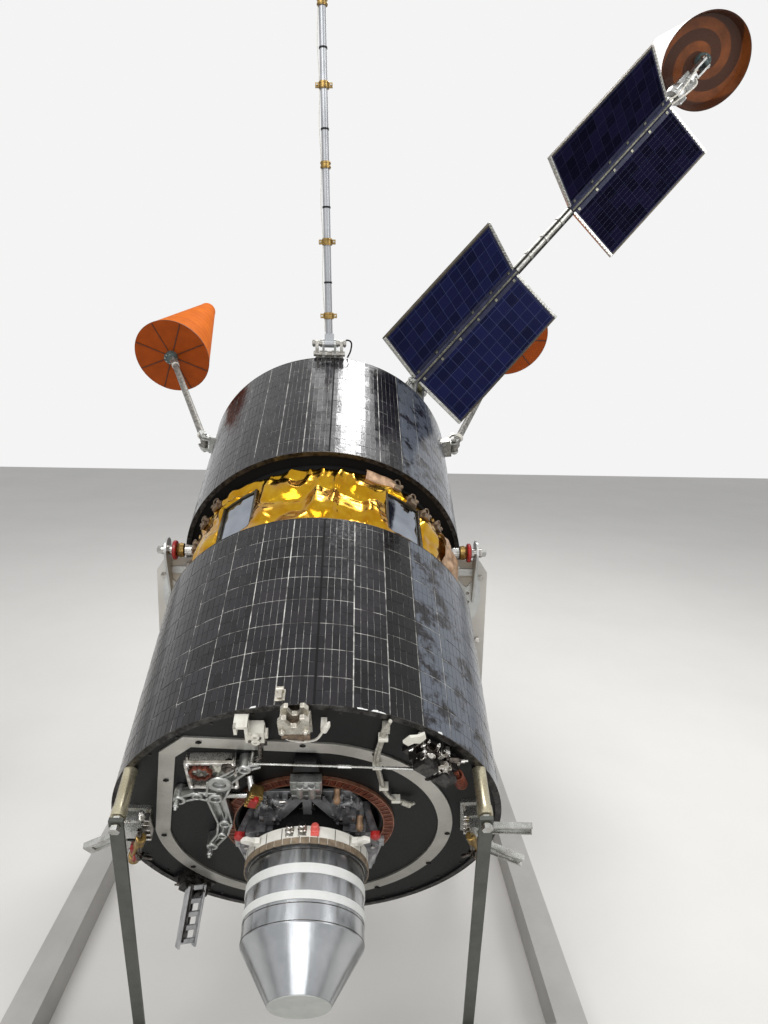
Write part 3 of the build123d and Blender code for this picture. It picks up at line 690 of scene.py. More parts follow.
def repeat(name: str, spots: Sequence[tuple[Matrix, Point]], template: Template, size: Point,
           finish: Finish, body: Body = Body.SATELLITE, sides: int = 8) -> bpy.types.Object:
    """Set one small solid on many spots with a Geometry Nodes tree.

    Args:
        name: The piece's name.
        spots: For each copy its place, in the row's frame, and its stretch along its own axes.
        template: The solid that is repeated.
        size: Its X, Y and Z size in millimetres; a round one takes its width from X.
        finish: The surface of every copy.
        body: The body that the piece rides on.
        sides: How many flats a round template has.

    Returns:
        The piece, as a plain mesh.
    """
    points = bpy.data.meshes.new(name + "_spots")
    points.from_pydata([place.translation for place, _ in spots], [], [])
    for label, values in (("turn", [place.to_euler() for place, _ in spots]),
                          ("stretch", [s for _, s in spots])):
        layer = points.attributes.new(label, "FLOAT_VECTOR", "POINT")
        layer.data.foreach_set("vector", [c for value in values for c in value])
    made = bpy.data.objects.new(name, points)
    bpy.context.scene.collection.objects.link(made)
    tree = bpy.data.node_groups.new(name + "_tree", "GeometryNodeTree")
    tree.interface.new_socket("Geometry", in_out="INPUT", socket_type="NodeSocketGeometry")
    named = {"Width": size[0] * MM, "Depth": size[1] * MM, "Height": size[2] * MM}
    sockets = {label: tree.interface.new_socket(label, in_out="INPUT", socket_type="NodeSocketFloat")
               for label in named}
    tree.interface.new_socket("Geometry", in_out="OUTPUT", socket_type="NodeSocketGeometry")
    inlet = add_node(tree, "NodeGroupInput")
    if template is Template.BOX:
        sizes = add_node(tree, "ShaderNodeCombineXYZ", {
            0: inlet.outputs["Width"], 1: inlet.outputs["Depth"], 2: inlet.outputs["Height"]})
        solid = add_node(tree, template.value, {"Size": sizes.outputs[0]})
    else:
        half = maths(tree, "MULTIPLY", inlet.outputs["Width"], 0.5)
        solid = add_node(tree, template.value, {
            "Vertices": sides, "Radius": half, "Depth": inlet.outputs["Height"]})
    turned, stretched = (add_node(tree, "GeometryNodeInputNamedAttribute", {"Name": label},
                                  data_type="FLOAT_VECTOR") for label in ("turn", "stretch"))
    copies = add_node(tree, "GeometryNodeInstanceOnPoints", {
        "Points": inlet.outputs[0], "Instance": solid.outputs["Mesh"],
        "Rotation": turned.outputs[0], "Scale": stretched.outputs[0]})
    real = add_node(tree, "GeometryNodeRealizeInstances", {0: copies.outputs[0]})
    dressed = add_node(tree, "GeometryNodeSetMaterial", {
        "Geometry": real.outputs[0], "Material": finish.material()})
    add_node(tree, "NodeGroupOutput", {0: dressed.outputs[0]})
    modifier = made.modifiers.new("repeat", "NODES")
    modifier.node_group = tree
    for label, value in named.items():
        modifier[sockets[label].identifier] = value
    graph = bpy.context.evaluated_depsgraph_get()
    baked = bpy.data.meshes.new_from_object(made.evaluated_get(graph))
    made.modifiers.remove(modifier)
    made.data = baked
    baked.name = name
    if not baked.materials:
        baked.materials.append(finish.material())
    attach(made, body.value)
    LOG.info("%s: %d copies, %d faces on %s", name, len(spots), len(baked.polygons), body.value)
    return made


# Finishes of the real thing. The numbers are, in order: metallic, roughness, its spread, and the sizes
# of the patches and of the grain.
# Castings: bright but soft, with grey patches from the mould
CAST_ALUMINIUM = Finish("cast_aluminium", "#bfc0be", "#92938f", 0.95, 0.33, 0.07, 22, 2.4, bump=0.16)
# Turned and milled parts: clear, tight highlights
MACHINED_STEEL = Finish("machined_steel", "#c4c4c2", "#96968f", 1.0, 0.26, 0.05, 22, 2.0, bump=0.05)
# Blued steel: dark, with dull sparks on its edges; the same dark finish is painted shade on the
# collar's underside
DARK_STEEL_AND_SHADE = Finish("blued_steel_and_collar_shade", "#4a4846", "#24211f", 0.85, 0.38, 0.16, 14, 2.0, bump=0.3,
                    contrast=0.1)
# Plating: small bright and black reflections side by side
CHROME = Finish("chrome_plate", "#d2d0cc", "#8a847c", 1.0, 0.17, 0.05, 18, 3.0, bump=0.06,
                contrast=0.12)
# Spun canister: broad, streaked reflections round its side
POLISHED_CANISTER = Finish("spun_aluminium", "#b2b4b6", "#999c9f", 1.0, 0.21, 0.06, 90, 9.0,
                           (1, 0.12, 0.12), 0.05)
# Enamelled skin: black with one faint sheen
BLACK_SKIN = Finish("black_enamel", "#060707", "#0b0c0c", 0.0, 0.45, 0.08, 120, 2.5, bump=0.05,
                    specular=0.22)
# Matt paint: swallows the light, so gaps read as deep; black paint on the belt and the adapter, and
# painted shade in the strip screws' slots
MATT_BLACK = Finish("matt_black_paint_and_slot_shade", "#070707", "#0e0d0d", 0.0, 0.85, 0.08, 80, 2.0, specular=0.2)
# Brushed strip: a pale line with a soft sheen along it
STRIP_METAL = Finish("brushed_strip", "#bdbbb4", "#a9a7a0", 0.8, 0.34, 0.08, 60, 2.5, (1, 8, 1), 0.06)
# Old enamel: warm white, slightly uneven
CREAM = Finish("cream_enamel", "#d9d7cd", "#c9c5b8", 0.0, 0.45, 0.10, 22, 2.5, bump=0.08)
# Clean enamel: the lightest warm white on the face
WHITE = Finish("white_enamel", "#e4e2da", "#cfccc2", 0.0, 0.40, 0.10, 30, 2.0, bump=0.06)
# Oxidised copper: reddish brown with hardly a highlight
COPPER_SLATS = Finish("oxidised_copper", "#7a3b24", "#43221a", 0.55, 0.48, 0.12, 12, 2.0)
# Aged brass: dull yellow with brown patches
BRASS = Finish("aged_brass", "#a3864f", "#6d5a36", 0.9, 0.36, 0.12, 16, 2.0)
# Champagne anodising: pale gold, satin along the tube
GOLD_TUBE = Finish("champagne_anodised", "#c6bfa6", "#a9a086", 0.85, 0.30, 0.08, 60, 3.0, (8, 1, 1),
                   0.06)
# Gold film: hard bright facets next to deep amber ones
GOLD_FOIL = FoilFinish("crumpled_gold_film", "#c39a26", "#a87412", 1.0, 0.17, 0.06, 60, 5.0, bump=0.15)
# Worn plating: warm silver with greyed corners
CLAW_METAL = Finish("worn_silver_plate", "#cfcabd", "#9a958a", 0.75, 0.34, 0.12, 16, 2.4, bump=0.2)
# Bronze edging: a dark, warm outline
COPPER_EDGE = Finish("bronze_edge", "#4d4536", "#332d22", 0.6, 0.38, 0.1, 20, 2.5)
# Aged film: brownish pink, dull beside the gold
PEACH_FILM = Finish("aged_film", "#b99878", "#8d6f55", 0.15, 0.45, 0.1, 14, 4.0, bump=0.35,
                    contrast=0.1)
# Brown lacquer on castings: dark and warm, with worn lights
BROWN_CASTING = Finish("brown_lacquer", "#7d6a55", "#4a3c30", 0.4, 0.45, 0.14, 14, 2.4, bump=0.3)
# Red plastic: the strongest colour, glossy
RED = Finish("red_plastic", "#a51d1a", "#7a1210", 0.0, 0.36, 0.08, 20, 2.0, bump=0.05)
# Faded cap: pale red with a soft gloss
CORAL = Finish("coral_cap", "#e0685f", "#c9534b", 0.0, 0.4, 0.08, 20, 2.0, bump=0.05)
# White tape: cool and even against the metal
BAND_WHITE = Finish("white_tape", "#dadbd8", "#cfd0cc", 0.0, 0.42, 0.08, 40, 2.5, bump=0.05)
# Rust lacquer on the cones' bases: flat and saturated
RUST_BASE = Finish("rust_lacquer", "#984208", "#883a06", 0.0, 0.55, 0.08, 40, 3.0, bump=0.06,
                   specular=0.15)
# Olive lacquer on the spar: dark, with an edge of metallic light
OLIVE = Finish("olive_lacquer", "#55523a", "#3f3d2b", 0.5, 0.38, 0.10, 40, 3.0)
# Cable sleeves: nearly black beside the olive
OLIVE_DARK = Finish("dark_olive_lacquer", "#26251f", "#131311", 0.2, 0.45, 0.08, 30, 3.0, specular=0.2)
# Enamel on the hubs: a cold grey green that sets off the orange
TEAL_GREY = Finish("teal_grey_enamel", "#4f605f", "#3a4746", 0.1, 0.40, 0.1, 20, 2.0)
# Dull tube: even grey without a sharp highlight
MAST_TUBE = Finish("dull_grey_tube", "#a4a6a9", "#8f9194", 0.6, 0.4, 0.04, 120, 6.0, bump=0.02)
# Worn lacquer on the arms: grey, scuffed to metal
ARM_LACQUER = Finish("worn_arm_lacquer", "#8a8780", "#5c5a55", 0.35, 0.42, 0.12, 9, 3.0, bump=0.2,
                     contrast=0.08)
# Powder coat of the floor beams: warm and soft
STAND_GREY = Finish("warm_grey_powder", "#b3b1ad", "#a5a39f", 0.0, 0.52, 0.08, 150, 1.8, bump=0.12)
# Powder coat of the uprights: a shade lighter than the beams
UPRIGHT_GREY = Finish("light_grey_powder", "#c2c0ba", "#b0ada6", 0.0, 0.50, 0.08, 120, 1.8, bump=0.12)
# Paint on the legs: dark grey green, nearly matt
LEG_PAINT = Finish("dark_green_grey", "#4b4d47", "#3a3c37", 0.15, 0.5, 0.1, 50, 2.0)
# Sleeves of wires: off-white with handling marks
WIRE_WHITE = Finish("white_sleeve", "#e2dfd6", "#bcb8ad", 0.0, 0.5, 0.1, 8, 1.5)
# Tinned braid: a fine glitter
SHIELD_BRAID = Finish("tinned_braid", "#c3c0b6", "#8f8b80", 0.7, 0.4, 0.12, 5, 1.5, bump=0.4)
# Mirror glass: shows the room, a little darkened
MIRROR = Finish("mirror_glass", "#9ba1ab", "#7f858f", 1.0, 0.08, 0.03, 80, 12.0, bump=0.02)
# Equipment inside the body: plain grey, never in view
CORE_GREY = Finish("equipment_grey", "#5a5a5c", "#464648", 0.1, 0.6)
# Dark plating: black reflections with warm lights
DARK_CHROME = Finish("dark_chrome", "#6e6761", "#2f2b28", 1.0, 0.20, 0.10, 12, 3.0, bump=0.15,
                     contrast=0.1)
# Rubbed copper: light edges on the slotted ring
PALE_COPPER = Finish("pale_copper", "#a57a63", "#7c4a35", 0.6, 0.4, 0.1, 12, 2.0)
# Grey iridite: the light satin metal of the bridge
BRIDGE_GREY = Finish("grey_iridite", "#b4b4b5", "#87888a", 0.55, 0.36, 0.08, 26, 2.4, bump=0.15)
# Dark iridite: lets the foot blocks sink back
BLOCK_GREY = Finish("dark_grey_iridite", "#8b8a8c", "#4c4b4e", 0.5, 0.38, 0.08, 18, 2.4, bump=0.15)
# Worn cases: mid grey with rubbed bright edges
CLEAR_EDGE = Finish("worn_case", "#a5a39d", "#6f6c66", 0.7, 0.3, 0.12, 14, 2.4, bump=0.2)
# Tan shims: a dotted brown line round the collar
TAN_SLOT = Finish("tan_shim", "#8f7f6a", "#6a5c4b", 0.3, 0.5, 0.1, 12, 2.4)
# Silver tape: wrinkled, with broken highlights
SILVER_TAPE = Finish("silver_tape", "#c2c1bc", "#96958e", 0.9, 0.32, 0.07, 9, 2.5, bump=0.15,
                     contrast=0.12)
# Rails of the fold: olive metal, brighter than the spar
RAIL_OLIVE = Finish("olive_rail", "#807e70", "#4b4a41", 0.8, 0.33, 0.1, 18, 2.5, bump=0.2)
# Core of the panels: blue black
PANEL_EDGE = Finish("panel_core", "#2a2d44", "#1b1d30", 0.1, 0.45, 0.1, 25, 2.5, specular=0.2)
# Ribs and rims of the cones: dark brown lines on orange
RIB_DARK = Finish("dark_rib", "#4a230d", "#331708", 0.1, 0.5, 0.1, 20, 2.5)
# Stand brackets: pale, slightly green metal
BRACKET_PALE = Finish("pale_bracket", "#c4c6c4", "#a7a9a8", 0.7, 0.36, 0.12, 50, 2.5, bump=0.12)
# Frosted end of the canister: even, without reflections
NOSE_GREY = Finish("frosted_aluminium", "#acaeaa", "#a0a29e", 0.3, 0.55, 0.08, 30, 2.0, bump=0.06)
# Floor: pale and matt, so that shadows stay soft
FLOOR = Finish("pale_floor", "#e2e0dc", "#dddbd7", 0.0, 0.75, 0.05, 800, 6.0, bump=0.0)


@dataclass
class Drums:
    """The two drums with their solar cells: real tiles on a light bed, one tile to a cell."""

    base: Matrix
    groups: int = 36
    strings: int = 5
    rows: int = 8
    group_start: float = 2.6
    string_gap: float = 0.9
    group_gap: float = 1.5
    cell_gap: float = 0.8
    row_gap: float = 2.2
    tile_t: float = 0.8
    tilt: float = 0.7

    def tiles(self, name: str, start: float, length: float) -> None:
        """Tile one drum.

        Args:
            name: The piece's name.
            start: Station of the drum's lower rim.
            length: The drum's length.
        """
        row_length = length / self.rows
        finish = CellFinish(f"{name}_glass", "#08080a", "#222024", 0.0, 0.16, 0.09, grain_mm=9.0,
                            bump=0.10, specular=0.32, dark_clock=400.0 if start else 117.7,
                            frame=self.base, row_mm=row_length)
        chance = random.Random(int(length))
        step = 360 / self.groups / self.strings
        radians_mm = math.radians(step) * DRUM_R
        spots = []
        for group in range(self.groups):
            late = row_length * (0.25 if group in (10, 28) else chance.choice((0, 0, 0, 0.06)))
            for string in range(self.strings):
                clock = self.group_start + (group * self.strings + string + 0.5) * step
                edge = string in (0, self.strings - 1)
                width = radians_mm - self.string_gap - (self.group_gap / 2 if edge else 0)
                lean = (self.group_gap / 4 if string == 0 else -self.group_gap / 4) if edge else 0
                marks = [0.0]
                for row in range(self.rows + 1):
                    at = row * row_length - late
                    marks += [m for m in (at, at + row_length / 2) if 2 < m < length - 2]
                marks.append(length)
                for low, high in zip(marks, marks[1:]):
                    bold = min(abs((high + late) % row_length),
                               row_length - abs((high + late) % row_length)) < 1
                    cut = self.row_gap if bold else self.cell_gap
                    place = clock_frame(self.base, clock, DRUM_R + self.tile_t / 2,
                                        start + (low + high - cut) / 2)
                    tilt = (turn(chance.gauss(0, self.tilt), "Z")
                            @ turn(chance.gauss(0, self.tilt / 2), "Y"))
                    spots.append((place @ shift(0, lean, 0) @ tilt,
                                  (1, width / 10, (high - low - cut) / 10)))
        repeat(name, spots, Template.BOX, (self.tile_t, 10, 10), finish)

    def dress(self, nodes: dict) -> None:
        """Tile both drums and dress what carries the tiles.

        Args:
            nodes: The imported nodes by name.
        """
        bed = BedFinish("cell_bed", "#d2d0ca", "#55534f", 0.1, 0.45, 0.1, 30, 2.0, contrast=0.12,
                        frame=self.base)
        for node in ("lower_drum", "upper_drum"):
            wear(nodes[node], bed)
        self.tiles("lower_cells", 0, LOWER_LENGTH)
        self.tiles("upper_cells", UPPER_START, UPPER_LENGTH)
        rims = Shape(self.base)
        for low in (-0.2, LOWER_LENGTH - 2, UPPER_START - 0.2, TOP_STATION - 2):
            rims.ring(DRUM_R - 12, DRUM_R + 1.1, low, low + 2.2, 144)
        rims.piece("rim_beads", DARK_STEEL_AND_SHADE, "bare_metal")
        seam = Shape(self.base)
        for low, high in ((2, LOWER_LENGTH - 3), (UPPER_START + 2, TOP_STATION - 3)):
            seam.box((DRUM_R - 0.5, -2.2, low), (DRUM_R + 1.4, 2.2, high), turn(92.6, "Z"))
        seam.piece("cell_seam", MATT_BLACK, "belt_black")
        self.rim()

    def rim(self) -> None:
        """Add what breaks the lower rim: bare chips where cells are gone, and a lacquered hook."""
        chips, chance = Shape(self.base), random.Random(9)
        for clock in (77, 104.2, 105.6, 108.5, 110.2, 128):
            at = clock_frame(Matrix(), clock, DRUM_R, 0)
            outline = [(chance.uniform(-6, 0) - 3, 0.3), (chance.uniform(0, 6) + 3, 0.3),
                       (chance.uniform(1, 7), chance.uniform(2, 4)),
                       (chance.uniform(-7, -1), chance.uniform(2, 6))]
            chips.plate([(-x, y) for x, y in reversed(outline)], 0, 1.5,
                        at @ Matrix(((0, 0, 1, 0), (1, 0, 0, 0), (0, 1, 0, 0), (0, 0, 0, 1))))
        chips.piece("rim_chips", BAND_WHITE, "collar_white")
        hook = Shape(self.base)
        at = clock_frame(Matrix(), 84, DRUM_R, 22)
        hook.box((-1, -9, -14), (5, 9, 10), at)
        hook.lathe(((5, -7), (5, 7)), 16, at @ shift(8, 0, 8) @ turn(90, "X"))
        hook.box((4, -4, -12), (11, 4, 8), at)
        hook.piece("rim_hook", CLAW_METAL, "bare_metal", 0.6)


@dataclass
class Belt:
    """The belt between the drums: crumpled gold foil, mirrors in bronze frames and fittings."""

    base: Matrix
    start: float = 522.0
    end: float = 803.0
    clocks: tuple[float, ...] = (54, 126, 198, 270, 342)
    mirror_half: float = 7.5
    mirror_start: float = 580.0
    mirror_length: float = 145.0

    def window(self, clock: float, station: float) -> float:
        """How deep a spot of the foil lies inside a mirror's frame, from 0 to 1.

        Args:
            clock: The spot's clock angle.
            station: Its station on the axis.

        Returns:
            How flat the frame holds the foil there.
        """
        away = min(abs((clock - c + 180) % 360 - 180) for c in self.clocks)
        side = min(max((self.mirror_half + 1.4 - away) / 0.6, 0), 1)
        tall = min(max((self.mirror_length / 2 + 6
                        - abs(station - self.mirror_start - self.mirror_length / 2)) / 3, 0), 1)
        return side * tall

    def crumple(self, clock: float, station: float) -> float:
        """The foil's own height above the belt, in millimetres: creases at three scales.

        Args:
            clock: The spot's clock angle.
            station: Its station on the axis.

        Returns:
            The height in millimetres.
        """
        turned = math.radians(clock)
        spot = Vector((BELT_R * math.cos(turned), BELT_R * math.sin(turned), station))
        tall = Vector((spot.x, spot.y, station * 0.32))
        big = abs(noise.noise(spot / 110)) * 26
        mid = (0.4 - abs(noise.noise(tall / 46 + Vector((7, 3, 1))))) * 26
        small = abs(noise.noise(spot / 30 + Vector((1, 9, 4)))) * 3
        return 4.5 + big + max(mid, 0) + small

    def foil(self, name: str, clocks: tuple[float, float], stations: tuple[float, float], lift: float,
             finish: Finish, slot: str) -> None:
        """Lay one stretch of crumpled film round the belt.

        Args:
            name: The piece's name.
            clocks: The clock angles where it starts and ends.
            stations: The stations where it starts and ends.
            lift: How far it stands off the belt's own foil.
            finish: Its surface.
            slot: The record's slot, handed on to the piece.
        """
        columns = max(int((clocks[1] - clocks[0]) / 0.75), 4)
        rows = max(int((stations[1] - stations[0]) / 4.5), 4)
        closed = clocks[1] - clocks[0] >= 360
        sheet = Shape(self.base)
        points, faces = [], []
        for row in range(rows + 1):
            station = stations[0] + (stations[1] - stations[0]) * row / rows
            rim = min(row, rows - row) / 4
            for column in range(columns + (0 if closed else 1)):
                clock = clocks[0] + (clocks[1] - clocks[0]) * column / columns
                height = lift + self.crumple(clock, station) * min(rim + 0.15, 1)
                height -= (height - 0.2) * self.window(clock, station)
                turned = math.radians(clock)
                radius = BELT_R + height
                points.append((radius * math.cos(turned), radius * math.sin(turned), station))
        wide = columns if closed else columns + 1
        for row in range(rows):
            for column in range(columns):
                after = (column + 1) % wide
                faces.append((row * wide + column, row * wide + after,
                              (row + 1) * wide + after, (row + 1) * wide + column))
        sheet.add(points, faces)
        piece = sheet.piece(name, finish, slot, sharp=70, tidy=False)
        thick = piece.modifiers.new("film", "SOLIDIFY")
        thick.thickness, thick.offset = 0.15 * MM, -1

    def dress(self, nodes: dict) -> None:
        """Cover the belt and set its fittings.

        Args:
            nodes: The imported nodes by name.
        """
        wear(nodes["belt"], MATT_BLACK)
        wear(nodes["belt_collars"], MATT_BLACK)
        wear(nodes["belt_mirrors"], MIRROR)
        self.foil("belt_foil", (0, 360), (self.start + 6, self.end - 20), 0, GOLD_FOIL, "gold_foil")
        frames = Shape(self.base)
        for clock in self.clocks:
            for side in (-1, 1):
                frames.box((BELT_R, -3.5, self.mirror_start - 8),
                           (BELT_R + 13, 3.5, self.mirror_start + self.mirror_length + 8),
                           turn(clock + side * (self.mirror_half + 1.0), "Z"))
            for low in (self.mirror_start - 9, self.mirror_start + self.mirror_length + 1):
                for part in range(4):
                    turned = clock + (part - 1.5) * self.mirror_half / 2
                    frames.box((BELT_R, -13, low), (BELT_R + 10, 13, low + 8), turn(turned, "Z"))
        frames.piece("mirror_frames", COPPER_EDGE, "brass", 0.8)
        self.foil("peach_film", (147, 164), (596, 716), 15, PEACH_FILM, "brass")
        self.foil("tan_film", (108, 121), (748, 790), 11, PEACH_FILM, "brass")
        self.fittings()

    def fittings(self) -> None:
        """Set the lacquered brackets and connectors that hold the belt's wiring."""
        brackets = Shape(self.base)
        spots = ((122, 764), (130, 742), (138, 726), (147, 734), (31, 752), (24, 700), (40, 770),
                 (205, 750), (232, 744), (300, 752), (326, 728))
        for clock, station in spots:
            at = turn(clock, "Z") @ shift(BELT_R, 0, station)
            brackets.box((2, -17, -12), (16, 17, 12), at)
            brackets.box((16, -10, -16), (24, 10, 6), at)
            for y in (-12, 12):
                brackets.lathe(((0.5, 14), (6, 14), (6, 24), (4.5, 27), (0.5, 27)), 16,
                               at @ shift(0, y, 4) @ turn(90, "Y"))
            brackets.pipe(self.loop(at), 2.4, 8)
        brackets.piece("belt_brackets", BROWN_CASTING, "brass", 0.8)

    def loop(self, at: Matrix) -> list[Vector]:
        """A short lead between two connectors of one bracket, in the satellite's frame."""
        route = smooth_path(((18, -12, 8), (26, -6, 18), (24, 6, 22), (18, 12, 8)))
        return [(at @ (point * MM)) / MM for point in route]


def wear(node: bpy.types.Object, finish: Finish) -> None:
    """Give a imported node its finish."""
    for slot in node.material_slots:
        slot.material = finish.material()


def hex_heads(name: str, places: Sequence[Matrix], width: float, height: float, finish: Finish,
              body: Body = Body.SATELLITE, sides: int = 6) -> None:
    """Set bolt heads of one size, each standing along the Z axis of its place.

    Args:
        name: The piece's name.
        places: Where each head stands.
        width: The width over the corners.
        height: How far it stands out.
        finish: The surface of every head.
        body: The body that they ride on.
        sides: How many flats a head has.
    """
    spots = [(place @ shift(0, 0, height / 2), (1, 1, 1)) for place in places]
    repeat(name, spots, Template.ROUND, (width, width, height), finish, body=body, sides=sides)


def knobs(shape: Shape, at: Matrix, size: Point, count: int, seed: int) -> None:
    """Fill a fitting's front with small stepped turnings and blocks, as a mechanism has.

    Args:
        shape: The mesh that takes them.
        at: The fitting's frame, whose -Z side is its front.
        size: Half width, half height and depth of the space that they take.
        count: How many there are.
        seed: The number that fixes where they are.
    """
    chance = random.Random(seed)
    for index in range(count):
        x, y = (chance.uniform(-size[0], size[0]), chance.uniform(-size[1], size[1]))
        tall = size[2] * chance.uniform(0.35, 1.0)
        radius = chance.uniform(2.6, 7.0)
        place = at @ outward(x, y, 0)
        if index % 3 == 2:
            place = at @ shift(x, y, -tall * 0.6) @ turn(chance.uniform(0, 180), "Z") @ turn(90, "Y")
            shape.lathe(((radius * 0.5, -14), (radius * 0.5, -9), (radius, -9), (radius, 9),
                         (radius * 0.6, 9), (radius * 0.6, 15)), 14, place)
        elif index % 3 == 1:
            turned = place @ turn(chance.uniform(0, 90), "Z")
            shape.box((-radius, -radius * 0.7, 0), (radius, radius * 0.7, tall * 0.8), turned)
            shape.box((-radius * 0.5, -radius, tall * 0.3), (radius * 0.5, radius, tall * 0.6), turned)
        else:
            shape.lathe(((radius, 0), (radius, tall * 0.5), (radius * 0.7, tall * 0.55),
                         (radius * 0.7, tall * 0.8), (radius * 0.35, tall * 0.85),
                         (radius * 0.35, tall)), 14, place)


@dataclass
class BottomFace:
    """The bottom face: black skin, strip frame, slotted ring, bridge and the fittings by the rim."""

    base: Matrix
    skin: float = 4.0
    front: float = 3.7

    def dress(self, nodes: dict) -> None:
        """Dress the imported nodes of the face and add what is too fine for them.

        Args:
            nodes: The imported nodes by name.
        """
        for node, finish in (("bottom_plate", BLACK_SKIN), ("top_plate", BLACK_SKIN),
                             ("well", MATT_BLACK), ("equipment_core", CORE_GREY),
                             ("face_strip", STRIP_METAL), ("vent_ring", COPPER_SLATS),
                             ("bridge", BRIDGE_GREY), ("sensor_box", CLEAR_EDGE),
                             ("latch_wing", DARK_STEEL_AND_SHADE), ("latch_left", MACHINED_STEEL),
                             ("latch_right", MACHINED_STEEL), ("latch_low", DARK_STEEL_AND_SHADE)):
            wear(nodes[node], finish)
        self.edges()
        self.screws()
        self.mast_latch()
        self.wing_latch()
        self.side_latches()
        self.casting()
        self.sensor()
        self.cream()
        self.bridge()
        self.harness()
        self.standoffs()

    def edges(self) -> None:
        """Add the bright edges of the slotted ring and the rolled lip of the well."""
        edges = Shape(self.base)
        for inner, outer in ((154.6, 156.4), (175.4, 177.2)):
            edges.ring(inner, outer, -3.4, 3.6, 120)
        edges.piece("ring_edges", PALE_COPPER, "copper_ring")
        slats = [(clock_frame(self.base, clock, 166, -2.6), (1, 1, 1)) for clock in range(0, 360, 5)]
        repeat("ring_slats", slats, Template.BOX, (17, 1.4, 1.6), PALE_COPPER)

    def screws(self) -> None:
        """Set the screws of the skin and the strip, with black bars of painted shade in the strip
        screws' slots.
        """
        skin = [clock_frame(self.base, clock, 380, self.skin) @ turn(180, "X")
                for clock in range(4, 364, 12)]
        hex_heads("skin_screws", skin, 6, 1.8, DARK_STEEL_AND_SHADE, sides=8)
        strip = [(195, 291), (5, 280), (272, 167), (306, -40), (-293, -40), (-262, -169), (262, -178),
                 (-150, -284), (150, -292), (-236, 168), (-130, 252), (0, -317)]
        places = [self.base @ outward(x, y, -0.3) for x, y in strip]
        hex_heads("strip_screws", places, 8, 2.2, DARK_STEEL_AND_SHADE, sides=10)
        # Black bars across the strip screws' heads: painted shade in their slots
        slots = Shape(self.base)
        for x, y in strip:
            slots.box((x - 5.5, y - 1.1, -3.0), (x + 5.5, y + 1.1, -0.3))
        slots.piece("strip_slot_shade", MATT_BLACK, "belt_black")

    def mast_latch(self) -> None:
        """Build the claw that holds the folded mast at the rim, with its body, lead and pin."""
        at = clock_frame(Matrix(), 88, 354, self.front)
        claw = Shape(self.base)
        jaw = ((26, -27), (60, -27), (70, -19), (69, -11), (60, -14), (52, -9), (46, -5), (46, 5),
               (52, 9), (60, 14), (69, 11), (70, 19), (60, 27), (26, 27))
        claw.plate(jaw, -50, -40, at)
        claw.plate(tuple((x * 0.95 + 1, y * 0.9) for x, y in jaw), -24, -14, at)
        claw.box((-31, -26, -6), (31, 26, 0), at)
        for y in (-20, 20):
            claw.box((26, y - 6, -42), (46, y + 6, -16), at)
            claw.lathe(((6.5, -36), (6.5, -54), (4, -54), (4, -57)), 6, at @ shift(36, y, 0))
        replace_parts(claw.piece("mast_claw", CLAW_METAL, "bare_metal", 1.2), "latch_mast")
        body = Shape(self.base)
        body.box((-8, -21, -34), (30, 21, -5), at)
        body.box((-2, -14, -42), (28, 14, -32), at)
        body.lathe(((7.5, -25), (7.5, -4), (5, -4), (5, 25)), 20, at @ shift(2, 0, -36) @ turn(90, "X"))
        knobs(body, at @ shift(8, 0, -30), (14, 18, 16), 7, 17)
        body.piece("mast_latch_body", BROWN_CASTING, "brass", 1.0)
        coil = Shape(self.base)
        for y in (-16, 12):
            coil.lathe(((4, -4), (4, 4), (2.5, 6)), 16, at @ shift(-8, y, -24) @ turn(-90, "Y"))
        coil.piece("mast_latch_caps", RED, "ring_red")
        lead = Shape(self.base)
        lead.pipe(smooth_path(((34, 350, -20), (30, 336, -24), (5, 327, -24), (-22, 334, -24),
                               (-36, 362, -24))), 2.4)
        lead.bar((-36, 360, -24), (-43, 376, -24), 6.5, 16, 5.5)
        lead.bar((-43, 376, -24), (-46, 386, -25), 5.0, 16, 1.6)
        lead.box((30, 346, -24), (39, 356, 3))
        lead.box((-41, 352, -20), (-30, 361, 3.5))
        lead.piece("mast_latch_lead", WIRE_WHITE, "collar_white", 0.5)

    def wing_latch(self) -> None:
        """Build the wing's catch: turned links on a dark block, a cream arm and a copper spring."""
        at = clock_frame(Matrix(), 134, 354, self.front)
        links = Shape(self.base)
        knobs(links, at, (27, 52, 36), 34, 11)
        links.bar((-206, 258, -26), (-258, 238, -34), 8, 16)
        links.bar((-214, 288, -30), (-262, 220, -36), 6, 16)
        links.lathe(((13, 0), (16, 3), (16, 12), (9, 15), (9, 22)), 24, at @ outward(2, 14, -22))
        links.lathe(((10, 0), (12, 3), (12, 9), (5, 13)), 24, at @ outward(6, -30, -20))
        links.piece("wing_catch_links", CHROME, "bare_metal", 0.6)
        block = Shape(self.base)
        knobs(block, at, (26, 52, 34), 16, 5)
        block.box((-26, -20, -28), (-4, 44, -4), at)
        block.box((-8, -50, -26), (20, -8, -4), at)
        block.piece("wing_catch_block", DARK_CHROME, "bare_metal", 0.8)
        arm = Shape(self.base)
        arm.plate(((-18, -6), (-2, -14), (6, -8), (20, -10), (24, 4), (6, 12), (-8, 6), (-22, 8)), -26,
                  -20, shift(-200, 334, 0) @ turn(-30, "Z"))
        arm.bar((-206, 328, -22), (-214, 312, 3.6), 6, 12)
        arm.piece("wing_catch_arm", CREAM, "collar_white", 0.8)
        spring = Shape(self.base)
        turns = [(-284 + 11 * math.cos(a) - a * 0.35, 226 - a * 0.9, -26 + 11 * math.sin(a))
                 for a in (math.tau * i / 14 for i in range(14 * 6))]
        spring.pipe(turns, 2.0, 8)
        spring.bar((-282, 232, -26), (-298, 190, -26), 5.5, 14)
        spring.piece("wing_catch_spring", COPPER_SLATS, "copper_ring")

